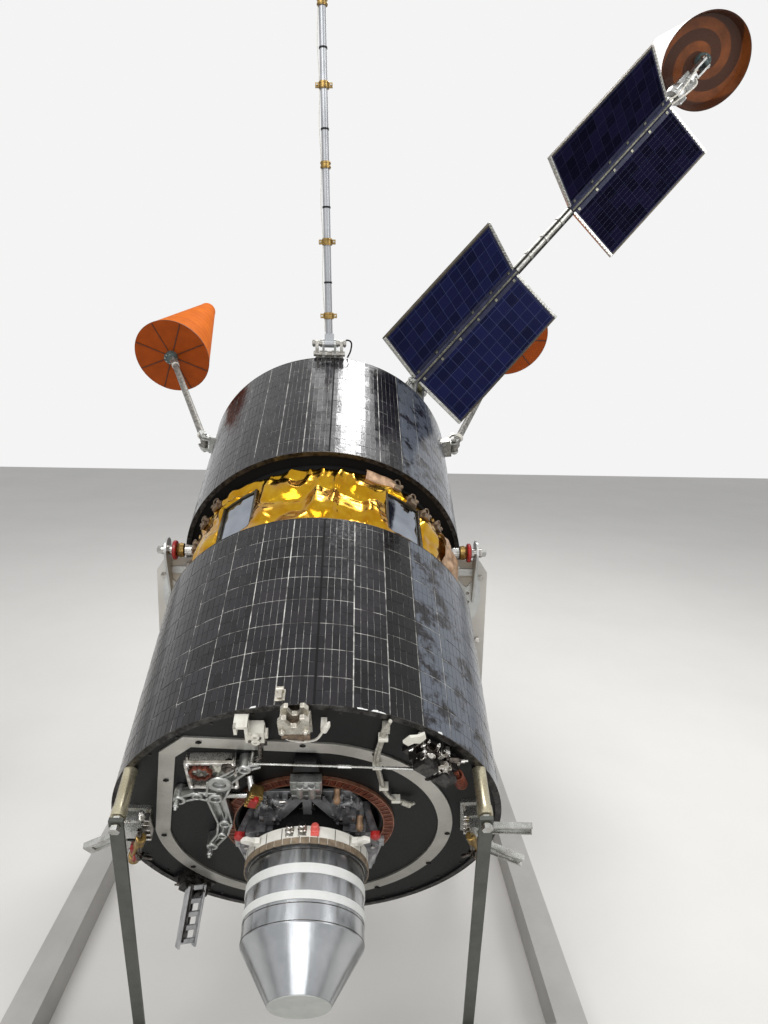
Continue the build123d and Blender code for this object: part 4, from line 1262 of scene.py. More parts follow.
    def side_latches(self) -> None:
        """Build the boxes, gold cylinders and levers beside the legs, and the low catch."""
        cases, gold, red, levers = (Shape(self.base) for _ in range(4))
        for side, clock, seed in ((1, 5, 3), (-1, 174, 4)):
            at = clock_frame(Matrix(), clock, 348, self.front)
            knobs(cases, at, (24, 38, 52), 12, seed)
            cases.box((-28, -40, -30), (26, 34, -6), at)
            for step in range(4):
                cases.box((-29, -36 + step * 18, -34), (27, -30 + step * 18, -26), at)
            low = (side * 356, -34, -50)
            gold.bar((side * 328, 44, -50), low, 10.5, 20)
            gold.bar((side * 352, -22, -50), (side * 358, -42, -50), 12.5, 20)
            red.bar((side * 345, -6, -62), (side * 351, -22, -62), 4.5, 12)
            red.box((side * 350 - 5, -8, -58), (side * 350 + 5, 12, -44))
            levers.bar((side * 330, 62, -44), (side * 336, -4, -62), 5, 14)
            levers.bar((side * 336, -4, -62), (side * 318, -28, -56), 4, 14)
            levers.lathe(((9, 0), (9, 8), (5, 8), (5, 14)), 20,
                         outward(side * 336, -2, -58))
        at = clock_frame(Matrix(), 318, 358, self.front)
        knobs(levers, at, (20, 34, 40), 12, 8)
        start, run = Vector((258, -226, -18)), Vector((18, -86, -96))
        along, across = run.normalized(), Vector((0.669, 0.743, 0))
        across = (across - along * across.dot(along)).normalized()
        axes = Matrix((across, along.cross(across), along)).transposed().to_4x4()
        at = Matrix.Translation(start * MM) @ axes
        strut = Shape(self.base)
        for x in (-22, 17):
            strut.box((x, -8, 0), (x + 5, 8, run.length), at)
        for step in range(5):
            strut.box((-17, -3, step * 28), (17, 3, step * 28 + 11), at)
        strut.piece("low_strut", BRIDGE_GREY, "bare_metal", 1.0)
        cases.piece("latch_cases", CHROME, "bare_metal", 0.8)
        gold.piece("latch_cylinders", BRASS, "brass", 0.8)
        red.piece("latch_flags", RED, "ring_red", 0.6)
        levers.piece("latch_levers", DARK_CHROME, "bare_metal", 0.6)

    def casting(self) -> None:
        """Build the three-legged casting: webs with rims and ribs, bosses and foot pads."""
        body = Shape(self.base)
        bars = ((163, 192, 25, 176, 142, 20), (176, 142, 18, 210, 150, 12),
                (210, 150, 12, 246, 136, 10), (176, 142, 20, 167, 48, 16), (167, 48, 16, 177, 2, 13),
                (177, 2, 12, 202, -42, 10), (163, 192, 18, 112, 240, 12), (112, 240, 9, 84, 250, 7))
        for x0, y0, r0, x1, y1, r1 in bars:
            run = Vector((x1 - x0, y1 - y0))
            at = shift(x0, y0, 0) @ Matrix.Rotation(math.atan2(run.y, run.x), 4, "Z")
            body.plate(((0, -r0), (run.length, -r1), (run.length, r1), (0, r0)), -16, -8, at)
            for side in (-1, 1):
                body.plate(((0, side * r0), (run.length, side * r1), (run.length, side * (r1 - 5)),
                            (0, side * (r0 - 5))), -25, -6, at)
            body.plate(((0, -1.8), (run.length, -1.8), (run.length, 1.8), (0, 1.8)), -21, -15, at)
        for x, y, radius, low in ((163, 192, 23, -8), (176, 142, 15, -8), (210, 150, 11, -8),
                                  (246, 136, 13, 3.7), (167, 48, 12, 3.7), (177, 2, 10, -8),
                                  (202, -42, 12, 3.7), (112, 240, 13, 3.7)):
            body.lathe(((radius, -low), (radius, 26), (radius - 2, 28), (radius * 0.55, 28),
                        (radius * 0.55, 20)), 32, outward(x, y, 0))
        for x, y in ((250, 138), (206, -48)):
            body.lathe(((6, 24), (6, 40), (3.5, 40), (3.5, 46)), 6,
                       outward(x, y, 0))
        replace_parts(body.piece("casting_body", CAST_ALUMINIUM, "bare_metal", 1.4), "y_casting")
        device = Shape(self.base)
        at = shift(101, 150, -24) @ turn(22, "Z")
        device.box((-12, -22, -14), (12, 22, 10), at)
        for y in (-18, -7, 4, 14):
            device.box((-13.5, y, -15.5), (13.5, y + 4, 6), at)
        device.piece("squib_case", BRASS, "brass", 1.0)
        flag = Shape(self.base)
        flag.box((-7, -14, -18), (8, 12, -13), at)
        flag.lathe(((5, 0), (5, 9), (3, 11)), 16, at @ outward(0, 18, -14))
        flag.piece("squib_flag", RED, "ring_red", 0.6)
        stem = Shape(self.base)
        stem.bar((110, 146, -20), (158, 140, -16), 6, 14)
        stem.bar((104, 158, -18), (112, 176, 3.6), 8, 16)
        stem.piece("squib_stem", MACHINED_STEEL, "bare_metal")

    def sensor(self) -> None:
        """Fill the open sensor box: coil, lens, posts and small parts under a rim."""
        rim = Shape(self.base)
        rim.box((128, 170, -21), (224, 176, -14))
        rim.box((128, 248, -21), (224, 254, -14))
        rim.box((128, 170, -21), (134, 254, -14))
        rim.box((218, 170, -21), (224, 254, -14))
        for x, y in ((134, 176), (218, 176), (134, 248), (218, 248)):
            rim.lathe(((5, 0), (5, 25), (3, 27)), 16, outward(x, y, 3))
        rim.piece("sensor_rim", CHROME, "bare_metal", 0.6)
        coil = Shape(self.base)
        turns = [((19 + 2 * math.sin(a * 9)) * math.cos(a) + 196,
                  (19 + 2 * math.sin(a * 9)) * math.sin(a) + 222,
                  -16 - a * 0.5) for a in (math.tau * i / 40 for i in range(100))]
        coil.pipe(turns, 2.2, 8)
        coil.box((176, 236, -14), (204, 246, -3))
        coil.piece("sensor_coil", COPPER_SLATS, "copper_ring")
        inside = Shape(self.base)
        knobs(inside, shift(184, 204, -2), (28, 22, 15), 16, 21)
        inside.box((140, 182, -12), (168, 214, -2))
        inside.piece("sensor_inside", CREAM, "collar_white", 0.5)
        lens = Shape(self.base)
        lens.lathe(((12, 0), (14, 4), (14, 16), (11, 18), (8, 15), (3, 13)), 32,
                   outward(142, 240, -8))
        lens.piece("sensor_lens", DARK_CHROME, "bare_metal")

    def cream(self) -> None:
        """Build the cream fitting: its block on a foot, the raised wing, the eyes and the stem."""
        extra = Shape(self.base)
        extra.box((72, 302, -2), (106, 352, self.front))
        extra.box((70, 322, -24), (104, 352, 0))
        extra.box((97, 346, -28), (103, 376, -4))
        extra.box((97, 368, -28), (122, 375, self.front))
        extra.box((116, 352, -28), (122, 375, -18))
        extra.box((64, 330, -20), (71, 346, -8))
        for y in (330, 345):
            extra.lathe(((8, 0), (8, 5), (6, 6), (3.5, 6), (3.5, 2)), 20,
                        outward(85, y, -24))
        piece = extra.piece("cream_block", CREAM, "collar_white", 0.8)
        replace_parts(piece, "cream_fitting")
        holes = Shape(self.base)
        for x, y in ((78, 338), (96, 328), (85, 330), (85, 345), (110, 371)):
            holes.lathe(((3.4, 0), (3.4, 1.6)), 14, outward(x, y, -24.2))
        holes.box((68, 300, -14), (92, 322, -3))
        holes.bar((82, 302, -12), (82, 268, -18), 3.5, 12)
        holes.bar((82, 268, -18), (97, 256, -18), 2.5, 12)
        holes.bar((82, 268, -18), (82, 268, 3.8), 4, 12)
        holes.piece("cream_eyes", DARK_CHROME, "bare_metal")

    def bridge(self) -> None:
        """Build the gear round the bridge: twin cylinders, foot blocks, caps and lugs."""
        steel = Shape(self.base)
        steel.box((-30, 164, -30), (30, 206, -12))
        for x in (-11, 11):
            steel.bar((x, 168, -35), (x, 202, -35), 7.5, 20)
            steel.bar((x, 158, -35), (x, 168, -35), 4.5, 16)
        steel.box((-26, 192, -40), (26, 198, -28))
        steel.box((-28, 150, -32), (28, 162, -10))
        steel.piece("bridge_cylinders", CAST_ALUMINIUM, "bare_metal", 1.0)
        hanger = Shape(self.base)
        hanger.plate(((-26, 214), (26, 214), (20, 248), (-20, 248)), -14, 3.5)
        hanger.box((-30, 130, -24), (-18, 168, 60))
        hanger.box((18, 130, -24), (30, 168, 60))
        hanger.piece("bridge_hanger", BLACK_SKIN, "belt_black", 0.8)
        blocks = Shape(self.base)
        for side in (-1, 1):
            blocks.box((side * 34, 4, -34), (side * 62, 62, 2))
            blocks.box((side * 66, -10, -40), (side * 104, 46, 20))
            blocks.box((side * 58, 52, -30), (side * 96, 84, 10))
            blocks.box((side * 84, 40, -46), (side * 116, 54, -20))
            for step in range(4):
                blocks.box((side * 64, -6 + step * 14, -44), (side * 107, -1 + step * 14, -36))
            blocks.bar((side * 70, 30, -30), (side * 78, -90, -20), 6, 14)
            blocks.box((side * 108, -60, -30), (side * 128, 20, 40))
            blocks.plate(((side * 128, -20), (side * 148, -60), (side * 140, -140), (side * 118, -150)),
                         -16, -8)
            blocks.plate(((side * 60, 60), (side * 84, 96), (side * 78, 104), (side * 52, 70)), -32,
                         -20)
        blocks.piece("bridge_blocks", BLOCK_GREY, "bare_metal", 1.0)
        gear, bright = Shape(self.base), Shape(self.base)
        gear.plate(((-112, -10), (112, -10), (114, 66), (84, 118), (-84, 118), (-114, 66)), 4, 10)
        for side, seed in ((1, 31), (-1, 37)):
            knobs(gear, shift(side * 66, 86, 4), (34, 26, 34), 24, seed)
            knobs(bright, shift(side * 50, 82, 4), (46, 30, 30), 9, seed + 1)
            gear.bar((side * 150, -60, -6), (side * 128, -150, -14), 7, 12)
            gear.box((side * 142, -74, -10), (side * 158, -44, 4))
            gear.box((side * 122, -158, -18), (side * 134, -142, 4))
        knobs(bright, shift(0, 112, 4), (16, 22, 26), 9, 41)
        gear.piece("bridge_gear", BRIDGE_GREY, "bare_metal", 0.6)
        bright.piece("bridge_bright", CHROME, "bare_metal", 0.5)
        nuts = [self.base @ outward(side * x, y, z) for side in (-1, 1) for x, y,
                z in ((48, 16, -34), (48, 50, -34), (74, 40, -44), (98, 40, -44), (90, 74, -30),
                      (66, 74, -30), (100, 4, -44), (72, 4, -44), (0, 150, -26), (92, 18, -46),
                      (134, -60, -16), (12, 60, -26), (12, 110, -26))]
        hex_heads("bridge_nuts", nuts, 9, 5, CHROME)
        lugs = Shape(self.base)
        caps = Shape(self.base)
        for side, cap_x in ((1, 128), (-1, -134)):
            lugs.box((side * 88, 78, -88), (side * 108, 92, -76))
            lugs.plate(((side * 100, 78), (side * 124, 90), (side * 124, 98), (side * 112, 104),
                        (side * 98, 94)), -88, -80)
            caps.lathe(((8, 0), (9.5, 2), (9.5, 10), (7, 13), (4, 14)), 24,
                       outward(cap_x, 96, -70))
            caps.box((cap_x - 9, 84, -76), (cap_x + 9, 96, -66))
        lugs.piece("collar_lugs", WHITE, "collar_white", 1.2)
        caps.piece("plug_caps", RED, "ring_red", 0.8)
        arms = Shape(self.base)
        for cap_x in (128, -134):
            arms.bar((cap_x, 94, -72), (cap_x * 0.86, 70, 4), 7, 16)
        arms.piece("cap_stems", BLOCK_GREY, "bare_metal")
        bulbs = Shape(self.base)
        for x, y, z in ((-58, 124, -8), (-104, 62, -30)):
            bulbs.lathe(((6, -12), (6, 3), (7.5, 6), (7, 14), (3, 18)), 18, shift(x, y, z)
                        @ turn(150, "X"))
        bulbs.piece("bridge_bulbs", PEACH_FILM, "brass")

    def standoffs(self) -> None:
        """Draw the two standoffs as slim tubes with the collar and stud that the legs hang on."""
        tubes = Shape(self.base)
        for x in (-STANDOFF_X, STANDOFF_X):
            at = shift(x, STANDOFF_Y, 0)
            tubes.lathe(((6, -119), (6, -95.3), (14.4, -95.3), (14.4, -78), (13, -76), (13, -0.3)), 48,
                        at)
        piece = tubes.piece("standoff_tubes", GOLD_TUBE, "gold_anodised")
        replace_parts(piece, "standoff_left", "standoff_right")

    def harness(self) -> None:
        """Lay the clipped harness across the strip and the tension rod of the wing's catch."""
        lead = Shape(self.base)
        route = smooth_path(((-146, 334, -5), (-141, 300, -7), (-134, 246, -8), (-142, 190, -7),
                             (-154, 134, -7), (-172, 106, -8), (-190, 96, -6)))
        lead.pipe(route, 4.2, 10)
        lead.pipe([p + Vector((4.6, 1.5, 1.5)) for p in route], 2.6, 8)
        lead.box((-154, 330, -10), (-140, 352, 3))
        lead.bar((-150, 350, -6), (-154, 366, -8), 4, 12)
        lead.bar((-188, 97, -7), (-206, 88, -9), 6.5, 14)
        lead.bar((-206, 88, -9), (-214, 96, -9), 3, 12)
        lead.piece("harness_strap", SHIELD_BRAID, "bare_metal")
        clips = Shape(self.base)
        for x, y in ((-143, 312), (-135, 222), (-150, 150), (-176, 104)):
            clips.box((x - 9, y - 4, -13), (x + 9, y + 4, 3.8))
        clips.piece("harness_clips", CREAM, "collar_white", 1.0)
        rod = Shape(self.base)
        rod.bar((98, 258, -24), (-206, 240, -24), 1.9, 10)
        rod.bar((-60, 248.6, -24), (-86, 247, -24), 3.6, 12)
        rod.bar((-150, 243.3, -24), (-206, 240, -24), 3.0, 12)
        rod.bar((98, 258, -25), (98, 258, 3.8), 4.5, 12)
        rod.bar((-206, 240, -25), (-206, 240, 3.8), 6.5, 12)
        rod.piece("catch_rod", MACHINED_STEEL, "bare_metal")


@dataclass
class Canister:
    """The polished canister that hangs on the adapter, with its white collar and bands."""

    base: Matrix
    radius: float = 114.0
    top: float = -70.0
    low: float = -240.0
    collar_radius: float = 122.0
    collar_length: float = 34.0
    nose_end: float = -332.0
    slots: int = 44

    def dress(self, nodes: dict) -> None:
        """Dress the canister's nodes and add seams, connectors and collar slots.

        Args:
            nodes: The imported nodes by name.
        """
        for node, finish in (("canister", POLISHED_CANISTER), ("canister_bands", BAND_WHITE),
                             ("canister_collar", WHITE), ("engine_adapter", MATT_BLACK)):
            wear(nodes[node], finish)
        collar_low = self.top - self.collar_length
        spots = [(clock_frame(self.base, 360 * i / self.slots, self.collar_radius, collar_low + 5.5),
                  (1, 1, 1)) for i in range(self.slots)]
        wide = math.tau * self.collar_radius / self.slots - 1.6
        repeat("collar_shims", spots, Template.BOX, (2.2, wide, 12), TAN_SLOT)
        seams = [(clock_frame(self.base, 360 * i / 22 + 3, self.collar_radius, self.top - 12),
                  (1, 1, 1)) for i in range(22)]
        repeat("collar_seams", seams, Template.BOX, (0.9, 1.2, 21), DARK_STEEL_AND_SHADE)
        # A thin dark ring over the collar's downward-facing underside: painted shade, where the white
        # collar is only shaded
        under = Shape(self.base)
        under.ring(114.9, 122.6, collar_low - 0.4, collar_low + 0.2, 96)
        under.piece("collar_underside_shade", DARK_STEEL_AND_SHADE, "copper_ring")
        rings = Shape(self.base)
        for station in (-109, -206, -236):
            rings.ring(self.radius - 1, self.radius + 0.5, station, station - 1.3, 96)
        rings.box((self.radius - 1, -1, -238), (self.radius + 0.7, 1, -106), turn(250, "Z"))
        rings.piece("canister_seams", DARK_CHROME, "bare_metal")
        nose = Shape(self.base)
        nose.lathe(((40, self.nose_end - 1.4), (55.6, self.nose_end - 1.4), (56.4, self.nose_end + 3)),
                   96)
        nose.piece("nose_cap", NOSE_GREY, "canister")
        plugs, red = Shape(self.base), Shape(self.base)
        for x, shape in ((30, plugs), (6, plugs), (-18, red)):
            at = shift(x, math.sqrt(self.collar_radius ** 2 - x * x) - 4, self.top - 8)
            shape.lathe(((9, -6), (9, 5), (7, 7), (7, 14), (5, 16)), 24, at @ turn(-68, "X"))
            shape.box((-8, -6, -12), (8, 6, 8), at)
        plugs.piece("collar_plugs", CHROME, "bare_metal", 0.6)
        red.piece("collar_red_plug", CORAL, "ring_red", 0.6)
        faces = Shape(self.base)
        for x in (30, 6):
            at = shift(x, math.sqrt(self.collar_radius ** 2 - x * x) - 4, self.top - 8)
            faces.lathe(((5.6, 15), (5.6, 17)), 20, at @ turn(-68, "X"))
        faces.piece("plug_faces", MATT_BLACK, "belt_black")


@dataclass
class HingeRoots:
    """The brackets on the top rim, with the links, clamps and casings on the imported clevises."""

    base: Matrix

    def dress(self, nodes: dict) -> None:
        """Dress the four brackets.

        Args:
            nodes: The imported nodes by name.
        """
        for node in ("mast_bracket", "wing_bracket", "left_bracket", "right_bracket"):
            wear(nodes[node], CAST_ALUMINIUM)
        mast = clock_frame(Matrix(), MAST_CLOCK, PIN_R, TOP_STATION + MAST_PIN_RISE)
        root = Shape(self.base)
        cheek = ((-48, -19.6), (-10, -15), (9, -5), (9, 8), (-8, 12), (-48, -2))
        for low in (-44, 34):
            root.plate(cheek, low, low + 10, turn(90, "X"))
        for y in (-1, 1):
            root.bar((0, y * 21, 0), (0, y * 54, 0), 9, 20)
            for near in (23, 46):
                root.bar((0, y * near, 0), (0, y * (near + 6), 0), 12, 20)
        root.box((-52, -44, -19.6), (-38, 44, -2))
        for x, z, radius in ((-31, -11, 8), (-36, 6, 7.5)):
            root.bar((x, -50, z), (x, 50, z), radius, 24)
            for y in (-30, -14, 8, 24):
                root.bar((x, y, z), (x, y + 7, z), radius + 2.4, 24)
        shape_to(root, mast)
        root.box((-46, -34, -8), (-24, 34, 9))
        root.box((-42, -42, 9), (-30, 42, 13))
        root.piece("mast_root", CLEAR_EDGE, "bare_metal", 0.8)
        loop = Shape(self.base @ mast)
        loop.pipe(smooth_path(((-4, 40, 8), (4, 56, 18), (0, 70, 8), (-20, 68, -8), (-40, 58, -17))),
                  2.6, 10)
        loop.piece("mast_lead", MATT_BLACK, "belt_black")
        self.wing_root()
        self.side_roots()

    def wing_root(self) -> None:
        """Add the wing root's casing, spring drum and foot bolts."""
        at = clock_frame(Matrix(), WING_CLOCK, WING_PIN_R, TOP_STATION + WING_PIN_RISE)
        root = Shape(self.base @ at)
        for y in (-1, 1):
            root.lathe(((11, 0), (13, 2), (13, 12), (9, 14), (6, 14), (6, 18)), 28,
                       shift(0, y * 26, 0) @ turn(-90 * y, "X"))
            root.bar((-4, y * 34, -4), (-34, y * 44, -70), 6, 14)
        root.box((-58, -52, -73.5), (-30, 52, -66))
        root.box((-40, -18, -66), (-20, 18, -30))
        root.piece("wing_root", MACHINED_STEEL, "bare_metal", 0.8)
        places = [self.base @ at @ shift(x, y, -66) for x in (-52, -36) for y in (-46, -30, 30, 46)]
        hex_heads("wing_root_bolts", places, 9, 5, CHROME)

    def side_roots(self) -> None:
        """Add the side arms' casings: a box with a link on the right and flared clamps on the left."""
        at = clock_frame(Matrix(), RIGHT_CLOCK, PIN_R, TOP_STATION + SIDE_PIN_RISE)
        box = Shape(self.base @ at)
        box.box((-74, -32, -14.5), (-12, 32, 6))
        box.box((-64, -26, 6), (-22, 26, 16))
        box.bar((-24, -25, 8), (0, -25, 40), 4.0, 14)
        box.lathe(((7.5, -4), (7.5, 4)), 20, shift(0, -25, 40) @ turn(90, "X"))
        box.lathe(((9, -5), (9, 5)), 20, shift(-24, -25, 8) @ turn(90, "X"))
        for y in (-1, 1):
            box.lathe(((10, 0), (10, 4), (6, 5), (6, 7)), 24, shift(0, y * 24, 0) @ turn(-90 * y, "X"))
        box.piece("right_root", CLEAR_EDGE, "bare_metal", 1.0)
        at = clock_frame(Matrix(), LEFT_CLOCK, PIN_R, TOP_STATION + SIDE_PIN_RISE)
        ears = Shape(self.base @ at)
        for low in (-30, 24):
            ears.plate(((-16, -14), (10, -10), (26, 22), (14, 30), (2, 12), (-14, 8)), low, low + 6,
                       turn(90, "X"))
        for y in (-1, 1):
            ears.lathe(((12, 0), (12, 8), (7, 10), (7, 15)), 24,
                       shift(0, y * 23, 0) @ turn(-90 * y, "X"))
        ears.box((-60, -34, -14.5), (-16, 34, -4))
        ears.piece("left_root", CAST_ALUMINIUM, "bare_metal", 1.0)


def shape_to(shape: Shape, at: Matrix) -> None:
    """Move what a shape holds from a frame within its own to that frame's place."""
    whole = shape.frame @ at @ shape.frame.inverted()
    bmesh.ops.transform(shape.mesh, matrix=whole, verts=shape.mesh.verts)


@dataclass
class Mast:
    """The mast: a silver tube with brass clamps and a wire that runs along it."""

    base: Matrix
    length: float = 1370.0
    first_clamp: float = 75.0
    clamp_pitch: float = 222.0
    clamps: int = 6
    radius: float = 11.0
    tilt: float = 1.6
    eared: tuple[int, ...] = (0, 1, 3)

    def dress(self, nodes: dict) -> None:
        """Dress the tube and add the clamps' ears and screws, the collars and the wire.

        Args:
            nodes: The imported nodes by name.
        """
        pin = arm_frame(self.base, MAST_CLOCK, PIN_R, MAST_PIN_RISE, 90 - AXIS_RISE)
        at = pin @ turn(self.tilt, "X")
        for node, finish in (("mast", MAST_TUBE), ("mast_clamps", BRASS), ("mast_tip", CAST_ALUMINIUM)):
            wear(nodes[node], finish)
        stations = [self.first_clamp + self.clamp_pitch * i for i in range(self.clamps)]
        ears = Shape(at)
        for index, station in enumerate(stations):
            for low in (station + 2, station + 14):
                ears.ring(15.2, 16.4, low, low + 4)
            if index in self.eared:
                ears.box((-4, -26, station + 3), (4, -14, station + 17))
                ears.box((-4, 14, station + 3), (4, 26, station + 17))
        ears.piece("mast_clamp_ears", BRASS, "brass", 0.6, body=Body.MAST)
        screws = [at @ shift(4, y, station + 10) @ turn(90, "Y") for index,
                  station in enumerate(stations) if index in self.eared for y in (-21, 21)]
        hex_heads("mast_screws", screws, 6, 4, MACHINED_STEEL, Body.MAST)
        wire = Shape(at)
        half = self.clamp_pitch / 2
        route = [(2, -self.radius - 2.0, 36)]
        route += [(2 + (index % 2) * 1.2, -self.radius - (5.8 if index % 2 else 1.8), station + 10)
                  for index, station in enumerate(s + d for s in stations for d in (0, half))][:-1]
        wire.pipe(smooth_path(route, 4), 1.2, 8)
        wire.piece("mast_wires", WIRE_WHITE, "collar_white", body=Body.MAST)
        ties = [(at @ shift(0, 0, station + half), (1, 1, 1)) for station in stations[:-1]]
        repeat("mast_ties", ties, Template.ROUND, (25.4, 25.4, 5), BLACK_SKIN,
               body=Body.MAST, sides=20)
        head = Shape(at)
        head.lathe(((8, self.length + 34), (15, self.length + 34), (15, self.length + 37),
                    (11, self.length + 40)), 32)
        for low in (self.length + 6, self.length + 22):
            head.ring(17, 18.2, low, low + 5, 40)
        head.piece("mast_head", MACHINED_STEEL, "bare_metal", body=Body.MAST)


@dataclass
class Wing:
    """The folding wing: four cell panels on a lacquered spar, and the end antenna's fork."""

    base: Matrix
    panel_length: float = 519.0
    starts: tuple[float, float] = (20.0, 832.0)
    half_angle: float = 74.1
    inner: float = 14.3
    width: float = 220.0
    thick: float = 9.0
    columns: int = 4
    rows: int = 10
    crank: float = 49.0
    pivot: float = 1556.0

    def __post_init__(self) -> None:
        """Work out the spar's frame."""
        self.spar = arm_frame(self.base, WING_CLOCK, WING_PIN_R, WING_PIN_RISE,
                              WING_LEAN) @ shift(-self.crank, 0, 0)

    def panel(self, start: float, side: int) -> Matrix:
        """The frame of a panel: X away from the spar, Y through the panel, Z along the spar."""
        return self.spar @ shift(0, 0, start) @ turn(side * self.half_angle, "Z")

    def dress(self, nodes: dict) -> None:
        """Dress the panels, the spar and the end fork.

        Args:
            nodes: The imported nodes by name.
        """
        for node in ("panel_inner_upper", "panel_inner_lower", "panel_outer_upper",
                     "panel_outer_lower"):
            wear(nodes[node], PANEL_EDGE)
        wear(nodes["wing_spar"], OLIVE)
        wear(nodes["wing_end_bracket"], CAST_ALUMINIUM)
        self.cells()
        self.trim()
        self.spar_gear()

    def cells(self) -> None:
        """Set the cell tiles on both faces of the panels."""
        for name, start, colours, columns, rows, share, shine in (
                ("inner", self.starts[0], ("#0e1129", "#171a3c"), self.columns, self.rows, 0.45, 0.03),
                ("outer", self.starts[1], ("#0b0b18", "#151329"), 3 * self.columns, 5, 0.15, 0.0)):
            finish = PanelFinish(f"{name}_panel_glass", *colours, 0.0, 0.30, 0.05, mottle_mm=40,
                                 bump=0.02, specular=shine, frame=self.spar, line_share=share)
            wide = (self.width - 8 - self.inner - 14) / columns
            tall = (self.panel_length - 28) / rows
            spots = []
            for side in (-1, 1):
                at = self.panel(start, side)
                for face in (-1, 1):
                    for column in range(columns):
                        for row in range(rows):
                            place = at @ shift(self.inner + 14 + wide * (column + 0.5),
                                               face * (self.thick / 2 + 0.3), 14 + tall * (row + 0.5))
                            spots.append((place, ((wide - 0.9) / 10, 1, (tall - 0.9) / 10)))
            repeat(f"{name}_panel_cells", spots, Template.BOX, (10, 0.7, 10), finish,
                   body=Body.WING)

    def trim(self) -> None:
        """Add the panels' end strips with their studs, long edges, fold rails and hinge blocks."""
        ends, edges, rails = (Shape(Matrix()) for _ in range(3))
        studs, blocks = [], []
        half = self.thick / 2
        for start in self.starts:
            rails.box((14.2, -3.2, 0), (17.0, 3.2, self.panel_length), self.spar @ shift(0, 0, start))
            for side in (-1, 1):
                at = self.panel(start, side)
                for low, high in ((-0.8, 9), (self.panel_length - 9, self.panel_length + 0.8)):
                    ends.box((self.inner, -half - 1.2, low), (self.width + 0.6, half + 1.2, high), at)
                    studs += [at @ shift(self.inner + 12 + 13.4 * i, face * (half + 1.2),
                                         (low + high) / 2) @ turn(-90 * face, "X") for i in range(15)
                                         for face in (-1, 1)]
                edges.box((self.width - 4, -half - 0.8, 0),
                          (self.width + 1.2, half + 0.8, self.panel_length), at)
                blocks += [(at @ shift(self.inner + 5, 0, 26 + i * 93.4), (1, 1, 1)) for i in range(6)]
        ends.piece("panel_ends", SILVER_TAPE, "bare_metal", 0.5, body=Body.WING)
        edges.piece("panel_edges", COPPER_EDGE, "brass", 0.5, body=Body.WING)
        rails.piece("panel_rails", RAIL_OLIVE, "spar_olive", 0.5, body=Body.WING)
        hex_heads("panel_studs", studs, 6.5, 2.6, MACHINED_STEEL, Body.WING, sides=8)
        repeat("panel_hinges", blocks, Template.BOX, (9, 13, 9), RAIL_OLIVE,
               body=Body.WING)

    def spar_gear(self) -> None:
        """Add the link's tape and clamps, the spar's wires and the end casting's dome."""
        tape = Shape(self.spar)
        first = self.starts[0] + self.panel_length
        end = self.starts[1] + self.panel_length
        for low, high in ((first + 4, self.starts[1] - 4), (end + 2, end + 18)):
            tape.ring(14, 14.8, low, high, 40)
        for station in (first + 70, first + 152, self.starts[1] - 60):
            tape.ring(14, 18, station, station + 10)
            tape.box((-24, -5, station), (-14, 5, station + 10))
        tape.piece("spar_tape", SILVER_TAPE, "bare_metal", 0.5, body=Body.WING)
        sleeves = Shape(self.spar)
        for start in self.starts:
            sleeves.ring(13.9, 14.7, start - 2, start + self.panel_length + 2, 40)
        sleeves.piece("spar_sleeves", PANEL_EDGE, "spar_olive", body=Body.WING)
        cables = Shape(self.spar)
        for y in (-11.5, 11.5):
            cables.bar((11.5, y, first + 2), (11.5, y, self.starts[1] - 2), 3.6, 14)
        cables.piece("link_cables", OLIVE_DARK, "spar_olive", body=Body.WING)
        wires = Shape(self.spar)
        for offset in (-4, 3):
            wires.pipe(smooth_path(((-16, offset, 30), (-17, offset, 200), (-16.5, offset + 1, 400),
                                    (-17, offset, 700), (-16.5, offset, 1000), (-17, offset, 1360)), 3),
                                    1.8, 8)
        for offset, reach in ((-9, 150), (9, 130)):
            wires.pipe(smooth_path(((12, offset, end + 4), (32, offset, end + 34),
                                    (35, offset * 1.6, end + reach * 0.55),
                                    (30, offset * 2, end + reach * 0.85), (14, offset, end + reach))),
                                    3.2, 10)
        wires.piece("spar_wires", WIRE_WHITE, "collar_white", body=Body.WING)
        casting = Shape(self.spar)
        casting.lathe(((13, end + 20), (30, end + 26), (34, end + 40), (34, end + 56), (28, end + 70),
                       (16, end + 80), (14, end + 104), (20, end + 108), (20, end + 122),
                       (14, end + 128)), 40)
        for clock in (35, 155, 275):
            casting.box((10, -4, end + 60), (31, 4, end + 124), turn(clock, "Z"))
            casting.lathe(((5, end + 34), (5, end + 66)), 14, turn(clock + 40, "Z") @ shift(33, 0, 0))
        casting.piece("end_casting", CAST_ALUMINIUM, "bare_metal", 0.6, body=Body.WING)
        nuts = [self.spar @ shift(0, y, self.pivot) @ turn(-90 * math.copysign(1, y), "X")
                for y in (-18, 18)]
        hex_heads("end_pivot_nuts", nuts, 15, 5, CHROME, Body.WING)


